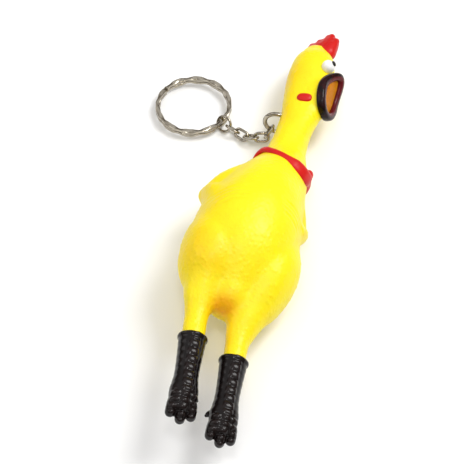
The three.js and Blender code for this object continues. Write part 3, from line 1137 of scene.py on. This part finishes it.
    def _wing_folds(self, local: np.ndarray) -> np.ndarray:
        """The depth of the arched folds on each wing, which fan out over the elbow.

        Args:
            local: the skin's points in the torso's frame.

        Returns:
            The depth at each point.
        """
        depth = np.zeros(len(local))
        for middle_x, side in ((-12.2, -1), (1.8, 1)):
            across, along = local[:, 0] - middle_x, local[:, 1] + 39.5
            radius = np.hypot(across * 0.9, along)
            angle = np.degrees(np.arctan2(along, across * side))
            window = ramp(angle, 30, 58) * (1 - ramp(angle, 86, 110)) * ramp(local[:, 2], -4, 1)
            for fold in self.fold_radii:
                depth += self.fold_depth * window * np.exp(-(((radius - fold) / self.fold_width) ** 2))
        return depth

    def _cutters(self) -> list[Form]:
        """What is cut out of the skin: the open mouth, the floor that it lies on and the ring's holes.

        Returns:
            The cutters.
        """
        head, torso = self.frames.head, self.frames.torso
        under = torso.origin - Vector((0, 0, torso.origin.z))
        ground = Place(under, Vector((1, 0, 0)), Vector((0, 1, 0)), Vector((0, 0, 1)))
        cutters = [egg(head, *self.mouth), block(ground, (-200, -200, -60), (200, 200, self.rest_height))]
        cutters += NeckRing(self.frames, self.finishes).holes()
        return cutters

    def _painted_shade(self, points: np.ndarray) -> np.ndarray:
        """Where painted shade turns the yellow orange: between the thighs, in the flank and under the jaw.

        Args:
            points: the skin's points.

        Returns:
            How much painted shade each point gets, from 0 to 1.
        """
        local = self.frames.torso.local(points)
        head = self.frames.head.local(points)
        # Painted shade: orange in the crotch pocket, the shaded flank, under the jaw and low on the legs.
        painted_shade = 1.25 * bell(local, (-7.2, -65.2, 4.2), 3.6)
        painted_shade += 0.3 * bell(local, (-7.0, -64, 8), 6.5)
        painted_shade += 0.42 * bell(local, (-18, -50, 8), 8.5) + 0.2 * bell(local, (-22, -36, 3), 7.0)
        painted_shade += 0.2 * bell(local, (-20, -25, 2), 6.0)
        painted_shade += 0.4 * bell(head, (-6, 34, -4), 8.0) + 0.35 * bell(head, (-5.6, 17, -2), 5.0)
        painted_shade += 0.35 * bell(local, (-2.4, -73, 1), 5.0) + 0.25 * bell(local, (-15, -70, 0), 4.5)
        return np.clip(painted_shade, 0, 1)

    def _in_mouth(self, points: np.ndarray) -> np.ndarray:
        """1 inside the mouth's hollow, where the orange painted shade goes, 0 outside it.

        Args:
            points: the skin's points.

        Returns:
            The share at each point.
        """
        middle, radii = self.mouth
        share = np.linalg.norm((self.frames.head.local(points) - np.array(middle)) / np.array(radii), axis=1)
        return 1 - ramp(share, 1.01, 1.08)


# ---- Face ----


@dataclass
class Face:
    """The comb, the eyes, the ear lobes and the beak's painted rim."""

    frames: Frames
    finishes: Finishes
    skin: Skin
    eye_middle: Triple = (3.9, 39.9, 9.3)
    eye_radius: float = 2.4
    gaze: Triple = (0.25, 0.25, 0.93)
    pupil_share: float = 0.42
    ear_middle: Triple = (6.5, 23.9, 4.2)
    ear_radii: tuple[float, float] = (2.55, 1.75)
    comb_half: float = 2.1
    comb_voxel: float = 0.25
    comb_rounds: int = 14
    rim_voxel: float = 0.22
    rim_rounds: int = 2
    rim_swell: float = 0.12
    rim_power: float = 0.7
    eye_bulge: float = 0.16
    pupil_rows: Sequence[tuple[float, float]] = (
        (0.05, 0.36), (0.4, 0.34), (0.75, 0.28), (0.95, 0.2), (1.0, 0.1), (1.0, -0.3), (0.05, -0.3),
    )
    ear_rows: Sequence[tuple[float, float]] = (
        (0.04, 0.75), (0.35, 0.72), (0.7, 0.6), (0.9, 0.38), (1.0, 0.05), (0.95, -0.8), (0.04, -0.8),
    )

    def build(self) -> None:
        """Makes every piece of the face."""
        self._comb()
        self._rim()
        for side in Side:
            self._eye(side)
            self._ear(side)

    def _comb(self) -> None:
        """The comb: lobes in one plate, melted round at their edges."""
        head = self.frames.head
        lobes = (
            ((0, 51.2, -0.4), (0, 56.4, -0.6), 2.7),
            ((0, 51.6, 2.2), (0, 58.0, 2.1), 2.8),
            ((0, 51.8, 4.4), (0, 60.0, 5.0), 2.7),
            ((0, 51.8, 5.8), (0, 57.6, 7.0), 2.3),
        )
        forms = []
        for (x, y, z), (tip_x, tip_y, tip_z), radius in lobes:
            forms.append(soft_tube(head, (
                (x, y, z, self.comb_half * 1.3, radius * 1.15, radius * 1.15),
                ((x + tip_x) / 2, (y + tip_y) / 2, (z + tip_z) / 2, self.comb_half * 1.15, radius, radius),
                (tip_x, tip_y, tip_z, self.comb_half * 0.7, radius * 0.72, radius * 0.72),
            )))

        def grooves(points: np.ndarray, normals: np.ndarray) -> np.ndarray:
            """Shallow grooves between the lobes.

            Args:
                points: the comb's points.
                normals: their normals, which moved() hands over.

            Returns:
                The distances, in millimetres.
            """
            local = head.local(points)
            return 0.12 * np.sin(local[:, 2] * 2.4) * ramp(local[:, 1], 53, 57)

        form = fused(Form.of(forms), self.comb_voxel, self.comb_rounds).moved(grooves)
        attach(piece("comb_crest", form, self.finishes.red, ["comb"]), "head")

    def _rim(self) -> None:
        """The beak's edge: one thick rolled lip round the open mouth."""
        head, beak = self.frames.head, self.skin.beak
        path = beak.path(head)
        half_wide, half_deep = beak.section

        def section(share: float) -> list[tuple[float, float]]:
            """A rounded bar, thicker at the corners of the mouth.

            Args:
                share: how far round the loop it is, from 0 to 1.

            Returns:
                The outline, across and up.
            """
            swell = 1 + self.rim_swell * abs(math.cos(TAU * share))
            outline = []
            for j in range(20):
                across, deep = squared(TAU * j / 20, self.rim_power)
                outline.append((across * half_wide * swell, deep * half_deep * swell))
            return outline

        form = fused(swept(path, head.z, section), self.rim_voxel, self.rim_rounds)
        middle = np.array([tuple(p) for p in head.local(np.array([tuple(p) for p in path]))])
        local = head.local(form.points)
        nearest = np.argmin(((local[:, None, :2] - middle[None, :, :2]) ** 2).sum(2), axis=1)
        inward = np.linalg.norm(middle[nearest, :2] - np.array(beak.middle[:2]), axis=1)
        inward -= np.linalg.norm(local[:, :2] - np.array(beak.middle[:2]), axis=1)
        front = local[:, 2] - middle[nearest, 2]
        edge = ramp(inward + 0.55 * front, 0.55, 1.25) * 0.95
        rim = piece("beak_rim", form, self.finishes.lips, ["mouth_rim"], {"lip_edge": edge})
        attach(rim, "head")

    def _eye(self, side: Side) -> None:
        """A bulging eye with its pupil, which is a thin lens on it.

        Args:
            side: which eye.
        """
        head = self.frames.head
        x, y, z = self.eye_middle
        middle = (side.sign * x, y, z)
        gaze = Vector((side.sign * self.gaze[0], *self.gaze[1:])).normalized()
        centre = np.array(head.at(*middle))
        look = np.array(head.turn(*gaze))

        def bulge(points: np.ndarray, normals: np.ndarray) -> np.ndarray:
            """The front of the eye, which stands out a little.

            Args:
                points: the eye's points.
                normals: their normals, which moved() hands over.

            Returns:
                The distances, in millimetres.
            """
            return self.eye_bulge * ramp(((points - centre) @ look) / self.eye_radius, 0.2, 1.0)

        white = egg(head, middle, (self.eye_radius,) * 3).moved(bulge)
        white = modified(white, ("SUBSURF", {"levels": 1}))
        paint = self.finishes
        ball = piece(f"{side.value}_eyeball", white, paint.white, [f"{side.value}_eye"])
        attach(ball, "head")
        reach = math.asin(self.pupil_share)
        first = Vector(look).orthogonal().normalized()
        second = Vector(look).cross(first)
        rings = []
        for share, height in self.pupil_rows:
            angle = reach * share
            radius = self.eye_radius + height
            ring = []
            for j in range(28):
                turn = TAU * j / 28
                around = first * math.cos(turn) + second * math.sin(turn)
                way = Vector(look) * math.cos(angle) + around * math.sin(angle)
                ring.append(Vector(centre) + way * radius)
            rings.append(ring)
        form = skin_over(np.array(rings)[::-1])
        dot = piece(f"{side.value}_pupil_dot", form, paint.black, [f"{side.value}_pupil"])
        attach(dot, "head")

    def _ear(self, side: Side) -> None:
        """An ear lobe: a low oval pad that follows the cheek.

        Args:
            side: which ear.
        """
        head = self.frames.head
        tree = self.skin.form.tree()
        x, y, z = self.ear_middle
        long, short = self.ear_radii
        rings = []
        for share, height in self.ear_rows:
            ring = []
            for j in range(40):
                turn = TAU * j / 40
                along = y + math.sin(turn) * short * share + 0.1 * math.sin(3 * turn)
                up = z + math.cos(turn) * long * share
                start = head.at(side.sign * (x + 10), along, up)
                way = head.turn(-side.sign, 0, 0)
                hit, normal, _, _ = tree.ray_cast(start, way)
                ring.append(hit + normal * height if hit else head.at(side.sign * x, along, up))
            rings.append(ring)
        points = np.array(rings)
        form = skin_over(points if side is Side.RIGHT else points[::-1])
        pad = piece(f"{side.value}_ear_pad", form, self.finishes.red, [f"{side.value}_ear_lobe"])
        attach(pad, "head")


# ---- Collar ----


@dataclass
class Collar:
    """The red collar, laid on the skin round the shoulders, with a tied lobe and its knot."""

    frames: Frames
    finishes: Finishes
    skin: Skin
    middle: Triple = (-1.0, -7.5, 0.3)
    tilt: float = 23.0
    half_height: float = 1.15
    thickness: float = 0.75
    lobe_height: float = 1.2
    lobe_thickness: float = 0.8
    lobe_turn: float = 57.0
    lobe_spread: float = 27.0
    edge_power: float = 0.7
    reach: float = 30.0
    voxel: float = 0.24
    rounds: int = 4

    def build(self) -> None:
        """Makes the band and the knot."""
        torso = self.frames.torso
        tree = self.skin.form.tree()
        slope = math.tan(math.radians(self.tilt))
        steps = 120
        path, sizes = [], []
        for i in range(steps):
            turn = TAU * i / steps
            across, front = math.cos(turn), math.sin(turn)
            degrees = math.degrees(turn)
            rise = 1.5 * math.exp(-(((degrees - 150) / 28) ** 2))
            rise += 4.0 * math.exp(-((min(degrees, 360 - degrees) / 42) ** 2))
            lobe = math.exp(-(((degrees - self.lobe_turn) / self.lobe_spread) ** 4))
            start = torso.at(self.middle[0] + across * self.reach,
                             self.middle[1] - across * self.reach * slope,
                             front * self.reach)
            target = torso.at(*self.middle)
            hit = tree.ray_cast(start, (target - start).normalized())[0]
            lift = rise - lobe * 0.4
            path.append(hit + torso.turn(0, lift, 0))
            sizes.append((self.half_height + self.lobe_height * lobe,
                          self.thickness + self.lobe_thickness * lobe))
        up = torso.turn(math.sin(math.radians(self.tilt)), math.cos(math.radians(self.tilt)), 0)

        def section(share: float) -> list[tuple[float, float]]:
            """A flat band with rounded edges, fatter in its lobe.

            Args:
                share: how far round the collar it is, from 0 to 1.

            Returns:
                The outline, across and up.
            """
            half, thick = sizes[round(share * steps) % steps]
            outline = []
            for j in range(18):
                across, along = squared(TAU * j / 18, self.edge_power)
                outline.append((across * thick, along * half))
            return outline

        form = fused(swept(path, up, section), self.voxel, self.rounds)
        band = piece("collar_band", form, self.finishes.red, ["collar"])
        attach(band, "torso")
        low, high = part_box("collar_knot")
        middle = (low + high) / 2 / MM
        place = Place(middle, torso.x, torso.y, torso.z)
        beads = [
            egg(place, (-0.8, -0.8, -0.6), (1.6, 2.0, 1.6)),
            egg(place, (-0.9, -2.4, -0.2), (1.5, 1.7, 1.5)),
        ]
        bead = fused(Form.of(beads), self.voxel, self.rounds)
        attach(piece("collar_tie", bead, self.finishes.red, ["collar_knot"]), "torso")


# ---- Boots ----


@dataclass
class Boot:
    """A glossy boot with scutes down its front, three toes and a spur."""

    frames: Frames
    finishes: Finishes
    side: Side
    top: float = -9.3
    end: float = -37.3
    scute_apart: float = 2.5
    scute_height: float = 0.4
    scute_tone: float = 0.35
    toes: Sequence[tuple[float, float]] = ((-2.7, 6.6), (0.1, 8.0), (2.8, 6.4))
    voxel: float = 0.26
    rounds: int = 3

    def build(self) -> None:
        """Makes the boot."""
        place = self.frames.legs[self.side]
        forms = [self._shaft(place)]
        for spread, length in self.toes:
            forms.append(self._toe(place, spread, length))
        inner = -self.side.sign
        spur_y = self.end + 10.6
        forms.append(soft_tube(place, (
            (inner * 2.2, spur_y, -1.4, 1.5, 1.4, 1.4),
            (inner * 3.9, spur_y - 0.5, -1.8, 1.0, 1.0, 1.0),
            (inner * 4.7, spur_y - 1.3, -1.8, 0.5, 0.5, 0.5),
        )))
        form = fused(Form.of(forms), self.voxel, self.rounds)
        scute = self._scutes(place.local(form.points))
        form = form.moved(lambda points, normals: self.scute_height * scute)
        name = f"{self.side.value}_boot"
        values = {"scute": self.scute_tone * scute}
        made = piece(f"{name}_moulding", form, self.finishes.boots, [name], values)
        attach(made, f"{self.side.value}_leg")

    def _shaft(self, place: Place) -> Form:
        """The boot from its cuff to where the toes part.

        Args:
            place: the leg's frame.

        Returns:
            The form.
        """
        return soft_tube(place, (
            (0, self.top, 0, 4.25, 4.2, 4.2),
            (0, self.top - 1.2, 0, 4.15, 4.1, 4.1),
            (0, self.top - 7, 0, 3.75, 3.7, 3.7),
            (0, self.top - 13, 0, 3.6, 3.6, 3.4),
            (0, self.end + 9.5, 0.3, 4.3, 3.7, 3.1),
            (0, self.end + 6.5, 0.4, 4.1, 3.3, 2.8),
        ), (End.SQUARE, End.ROUND))

    def _toe(self, place: Place, spread: float, length: float) -> Form:
        """One toe.

        Args:
            place: the leg's frame.
            spread: how far to the side its middle lies.
            length: how long it is.

        Returns:
            The form.
        """
        root_y = self.end + 8.6
        tip_y = root_y - length
        return soft_tube(place, (
            (spread * 0.7, root_y, 0.4, 1.9, 2.3, 2.0),
            (spread, (root_y + tip_y) / 2, 0.6, 1.75, 1.9, 1.7),
            (spread * 1.12, tip_y + 0.6, 0.4, 1.5, 1.6, 1.4),
        ))

    def _scutes(self, local: np.ndarray) -> np.ndarray:
        """How far the scales stand out: plates across the front of the shaft, and beads along the toes.

        Args:
            local: the boot's points in the leg's frame.

        Returns:
            The share at each point, about 0 to 1.
        """
        x, y, z = local.T
        toes_from = self.end + 9.0
        phase = (y - self.top) / self.scute_apart
        plate = np.abs(np.sin(np.pi * phase)) ** 0.6
        front = ramp(z, 0.4, 2.0) * (1 - ramp(np.abs(x), 1.0, 1.9)) * ramp(self.top - y, 1.2, 2.2)
        sides = 0.3 * ramp(z, -1.5, 0.2) * ramp(np.abs(x), 2.0, 2.8) * ramp(self.top - y, 1.5, 3.0)
        small = np.abs(np.sin(np.pi * (phase + 0.5))) ** 1.5
        shaft = plate * front + sides * small * 0.5
        cuff = 0.8 * (1 - ramp(self.top - y, 0.5, 1.3))
        bead = np.abs(np.sin(np.pi * y / 1.9)) * np.abs(np.cos(np.pi * x / 2.8)) ** 0.7
        toes = 1.15 * bead * ramp(z, 0.8, 1.8)
        blend = ramp(y, toes_from - 1, toes_from + 1)
        return blend * (shaft + cuff) + (1 - blend) * toes


# ---- Hardware ----


@dataclass
class NeckRing:
    """The steel ring through the nape, with the butt joint of its two ends."""

    frames: Frames
    finishes: Finishes
    radius: float = 4.25
    wire: float = 0.75
    middle: Triple = (0, 18.7, -6.6)
    room: float = 0.35
    swing: Sequence[float] = (-14, -7, 0, 7, 14)
    joint_at: float = 28.0
    joint_gap: float = 1.2

    def build(self) -> None:
        """Makes the ring."""
        place = self.frames.head
        steps = 96
        start, full = math.radians(self.joint_at), TAU - math.radians(self.joint_gap)
        path = [self._on_ring(place, start + full * i / (steps - 1)) for i in range(steps)]
        form = swept(path, place.y, round_section(self.wire), closed=False)
        ring = piece("nape_ring", form, self.finishes.nickel, ["neck_ring"], crease=40)
        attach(ring, "neck_ring")

    def holes(self) -> list[Form]:
        """The room that the ring sweeps through the nape.

        Returns:
            The ring at each angle of its swing, thicker by the room round it.
        """
        place = self.frames.head
        pivot = self.frames.pivot("neck_ring_swing")
        made = []
        for degrees in self.swing:
            turn = Matrix.Rotation(math.radians(degrees), 3, place.x)
            path = []
            for i in range(48):
                point = self._on_ring(place, TAU * i / 48)
                path.append(turn @ (point - pivot) + pivot)
            made.append(swept(path, turn @ place.y, round_section(self.wire + self.room, 12)))
        return made

    def _on_ring(self, place: Place, angle: float) -> Vector:
        """A point of the ring's middle line, from its top on the chicken's left."""
        x, y, z = self.middle
        return place.at(x + math.cos(angle) * self.radius, y, z - math.sin(angle) * self.radius)


@dataclass
class Chain:
    """The chain of oval links with the round connector at its end."""

    frames: Frames
    finishes: Finishes
    count: int = 5
    length: float = 6.1
    width: float = 4.0
    wire: float = 0.5
    connector_radius: float = 2.7
    connector_wire: float = 0.45
    clearance: float = 0.35
    ring_wire: float = 0.75
    weld_at: float = 0.5
    weld_length: float = 0.018
    weld_swell: float = 0.14
    joint_at: float = 200.0
    joint_gap: float = 4.0

    def build(self) -> None:
        """Makes each link and the connector."""
        before = self.ring_wire
        names = [f"chain_link_{i + 1}" for i in range(self.count)]
        nexts = [*names[1:], "connector_ring"]
        for name, following in zip(names, nexts, strict=True):
            place = self.frames.link(f"{name}_swing", self.frames.pivot(f"{following}_swing"))
            near = -(before + self.clearance + self.wire)
            form = self._link(place, near)
            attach(piece(f"{name}_wire", form, self.finishes.nickel, [name]), name)
            before = self.wire
        self._connector(before)

    def _link(self, place: Place, near: float) -> Form:
        """A link with round ends and the weld in one of its sides.

        Args:
            place: the link's frame.
            near: where its near end lies along Y.

        Returns:
            The form.
        """
        bend = self.width / 2 - self.wire
        straight = self.length - self.width
        steps = 72
        path = []
        for i in range(steps):
            angle = TAU * i / steps
            along = math.sin(angle) * bend + (straight if math.sin(angle) > 0 else 0)
            path.append(place.at(0, near + bend + along, math.cos(angle) * bend))

        def section(share: float) -> list[tuple[float, float]]:
            """Round wire, swollen at the weld.

            Args:
                share: how far round the link it is, from 0 to 1.

            Returns:
                The outline, across and up.
            """
            weld = math.exp(-(((share - self.weld_at) / self.weld_length) ** 2))
            radius = self.wire * (1 + self.weld_swell * weld)
            return round_section(radius, 12)(share)

        return swept(path, place.x, section)

    def _connector(self, before: float) -> None:
        """The round connector, with the butt joint of its two ends.

        Args:
            before: the radius of the wire that it hangs on.
        """
        low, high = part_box("connector_ring")
        middle = (low + high) / 2 / MM
        place = self.frames.link("connector_ring_swing", middle)
        near = -(before + self.clearance + self.connector_wire)
        steps = 72
        start, full = math.radians(self.joint_at), TAU - math.radians(self.joint_gap)
        path = []
        for i in range(steps):
            angle = start + full * i / (steps - 1)
            along = near + self.connector_radius * (1 + math.sin(angle))
            path.append(place.at(0, along, math.cos(angle) * self.connector_radius))
        form = swept(path, place.x, round_section(self.connector_wire, 12), closed=False)
        made = piece("connector_wire", form, self.finishes.nickel, ["connector_ring"], crease=40)
        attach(made, "connector_ring")


@dataclass
class KeyRing:
    """The split key ring: two turns of flat wire with stamped facets."""

    frames: Frames
    finishes: Finishes
    radius: float = 12.6
    half_width: float = 0.85
    half_height: float = 0.6
    step_angle: float = 24.0
    facets: int = 11
    facet_tilt: float = 24.0
    facet_narrowing: float = 0.16
    edge_power: float = 0.45
    turns: int = 2
    steps: int = 400
    end_gap: float = 3.0

    def build(self) -> None:
        """Makes the ring as one wire of two turns."""
        low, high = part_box("key_ring")
        middle = (low + high) / 2 / MM
        place = self.frames.link("key_ring_swing", middle)
        centre = (middle - place.origin).dot(place.y)
        step = math.radians(self.step_angle)
        total = self.turns * TAU - math.radians(self.end_gap)
        path = []
        for i in range(self.steps):
            angle = total * i / (self.steps - 1)
            share = (angle - (TAU - step / 2)) / step
            share = min(1.0, max(0.0, share))
            height = 1 - 2 * share * share * (3 - 2 * share)
            around = angle + math.pi / 2
            path.append(place.at(height * (self.half_height + 0.02), centre + math.sin(around) * self.radius,
                                 math.cos(around) * self.radius))

        def section(share: float) -> list[tuple[float, float]]:
            """A flat bar whose faces tilt to and fro, as the stamping left them.

            Args:
                share: how far along the wire it is, from 0 to 1.

            Returns:
                The outline, across and up.
            """
            wave = math.sin(self.facets * total * share)
            tilt = math.radians(self.facet_tilt) * wave
            narrow = 1 - self.facet_narrowing * wave * wave
            outline = []
            for j in range(16):
                wide, high = squared(TAU * (j + 0.5) / 16, self.edge_power)
                across = wide * self.half_width * narrow
                up = high * self.half_height * 0.94
                outline.append((across, up + across * math.tan(tilt)))
            return outline

        form = swept(path, place.x, section, closed=False)
        ring = piece("split_ring", form, self.finishes.nickel, ["key_ring"], crease=38)
        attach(ring, "key_ring")


class Squeaker:
    """The squeaker in the neck, whose CAD pieces stay as they are."""

    def __init__(self, nodes: dict[str, bpy.types.Object], finishes: Finishes) -> None:
        """Keeps the nodes and the finish of each.

        Args:
            nodes: the CAD nodes, by name.
            finishes: the toy's finishes.
        """
        self.finish_of = {
            nodes["squeaker_case"]: finishes.plastic,
            nodes["reed_channel"]: finishes.plastic,
            nodes["reed"]: finishes.brass,
        }

    def build(self) -> None:
        """Gives each piece its material."""
        for node, material in self.finish_of.items():
            node.data.materials.clear()
            node.data.materials.append(material)
            LOG.info("%s keeps its shape", node.name)


# ---- Studio ----


@dataclass
class Studio:
    """A pale floor, soft light and the camera."""

    frames: Frames
    azimuth: float = 13.0
    elevation: float = 53.0
    distance: float = 425.0
    lens: float = 99.66
    aim_left: float = 16.8
    aim_down: float = 23.39
    low_wall: Triple = (0.07, 0.05, 0.035)
    high_wall: Triple = (0.42, 0.39, 0.36)
    ceiling: Triple = (1.0, 1.0, 1.0)
    room_strength: float = 0.84
    shelf_at: float = 0.4
    ceiling_at: float = 0.7
    floor_half: float = 3000.0

    def build(self) -> None:
        """Makes the floor, the lights and the camera."""
        self._floor()
        self._lights()
        self._camera()
        scene = bpy.context.scene
        scene.view_settings.view_transform = "Standard"
        scene.view_settings.look = "None"

    def _floor(self) -> None:
        """A wide white floor with a faint grain."""
        half = self.floor_half
        corners = np.array([(-half, -half, 0.0), (half, -half, 0.0), (half, half, 0.0), (-half, half, 0.0)])
        form = Form(corners, [(0, 1, 2, 3)])
        graph = Graph("floor_paper")
        graph.join(graph.mixed(graph.grain(40, 2), (0.93, 0.93, 0.93), (0.91, 0.91, 0.91)),
                   graph.shader.inputs["Base Color"])
        graph.set(Roughness=0.9)
        mesh = form.mesh("floor", MM)
        mesh.materials.append(graph.material)
        floor = bpy.data.objects.new("floor", mesh)
        bpy.context.scene.collection.objects.link(floor)

    def _lights(self) -> None:
        """A bright room, a large soft key light from the right, and a small one for the highlights."""
        world = bpy.data.worlds.new("room")
        world.use_nodes = True
        tree = world.node_tree
        background = tree.nodes["Background"]
        direction = tree.nodes.new("ShaderNodeTexCoord").outputs["Generated"]
        split = tree.nodes.new("ShaderNodeSeparateXYZ")
        tree.links.new(direction, split.inputs["Vector"])
        height = tree.nodes.new("ShaderNodeValToRGB")
        tree.links.new(split.outputs["Z"], height.inputs["Fac"])
        height.color_ramp.elements[0].position = 0.0
        height.color_ramp.elements[0].color = (*self.low_wall, 1)
        height.color_ramp.elements[1].position = self.ceiling_at
        height.color_ramp.elements[1].color = (*self.ceiling, 1)
        shelf = height.color_ramp.elements.new(self.shelf_at)
        shelf.color = (*self.high_wall, 1)
        tree.links.new(height.outputs["Color"], background.inputs["Color"])
        background.inputs["Strength"].default_value = self.room_strength
        bpy.context.scene.world = world
        self._lamp("key_light", (240, 140, 420), 220, 1.45)
        self._lamp("spark_light", (40, -160, 420), 70, 0.25)
        self._lamp("fill_light", (-400, -60, 280), 320, 0.32)

    def _lamp(self, name: str, at: Triple, size: float, power: float) -> None:
        """A square lamp that faces the toy.

        Args:
            name: the lamp's name.
            at: where it hangs, in millimetres.
            size: the side of its square, in millimetres.
            power: its power, in watts.
        """
        light = bpy.data.lights.new(name, "AREA")
        light.size = size * MM
        light.energy = power
        lamp = bpy.data.objects.new(name, light)
        lamp.location = Vector(at) * MM
        lamp.rotation_euler = (-Vector(at)).to_track_quat("-Z", "Y").to_euler()
        bpy.context.scene.collection.objects.link(lamp)

    def _camera(self) -> None:
        """The camera, above the feet and a little to the chicken's left."""
        azimuth, elevation = math.radians(self.azimuth), math.radians(self.elevation)
        right = Vector((math.cos(azimuth), math.sin(azimuth), 0))
        back = Vector((math.sin(azimuth) * math.cos(elevation), -math.cos(azimuth) * math.cos(elevation),
                       math.sin(elevation)))
        up = back.cross(right)
        data = bpy.data.cameras.new("camera")
        data.lens = self.lens
        data.sensor_width = 36.0
        data.clip_start = 0.01
        data.clip_end = 20.0
        camera = bpy.data.objects.new("camera", data)
        spot = self.frames.torso.origin - right * self.aim_left - up * self.aim_down + back * self.distance
        camera.matrix_world = Matrix((right, up, back)).transposed().to_4x4()
        camera.location = spot * MM
        bpy.context.scene.collection.objects.link(camera)
        bpy.context.scene.camera = camera


def main() -> None:
    """Builds the toy around its frame, piece by piece."""
    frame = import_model()
    frames = Frames(frame["joints"])
    finishes = Finishes()
    skin = Skin(frames, finishes)
    skin.shape()
    skin.dress()
    Face(frames, finishes, skin).build()
    Collar(frames, finishes, skin).build()
    for side in Side:
        Boot(frames, finishes, side).build()
    NeckRing(frames, finishes).build()
    Chain(frames, finishes).build()
    KeyRing(frames, finishes).build()
    Squeaker(frame["nodes"], finishes).build()
    Studio(frames).build()


if __name__ == "__main__":
    logging.basicConfig(level=logging.INFO, format="%(name)s %(message)s")
    main()
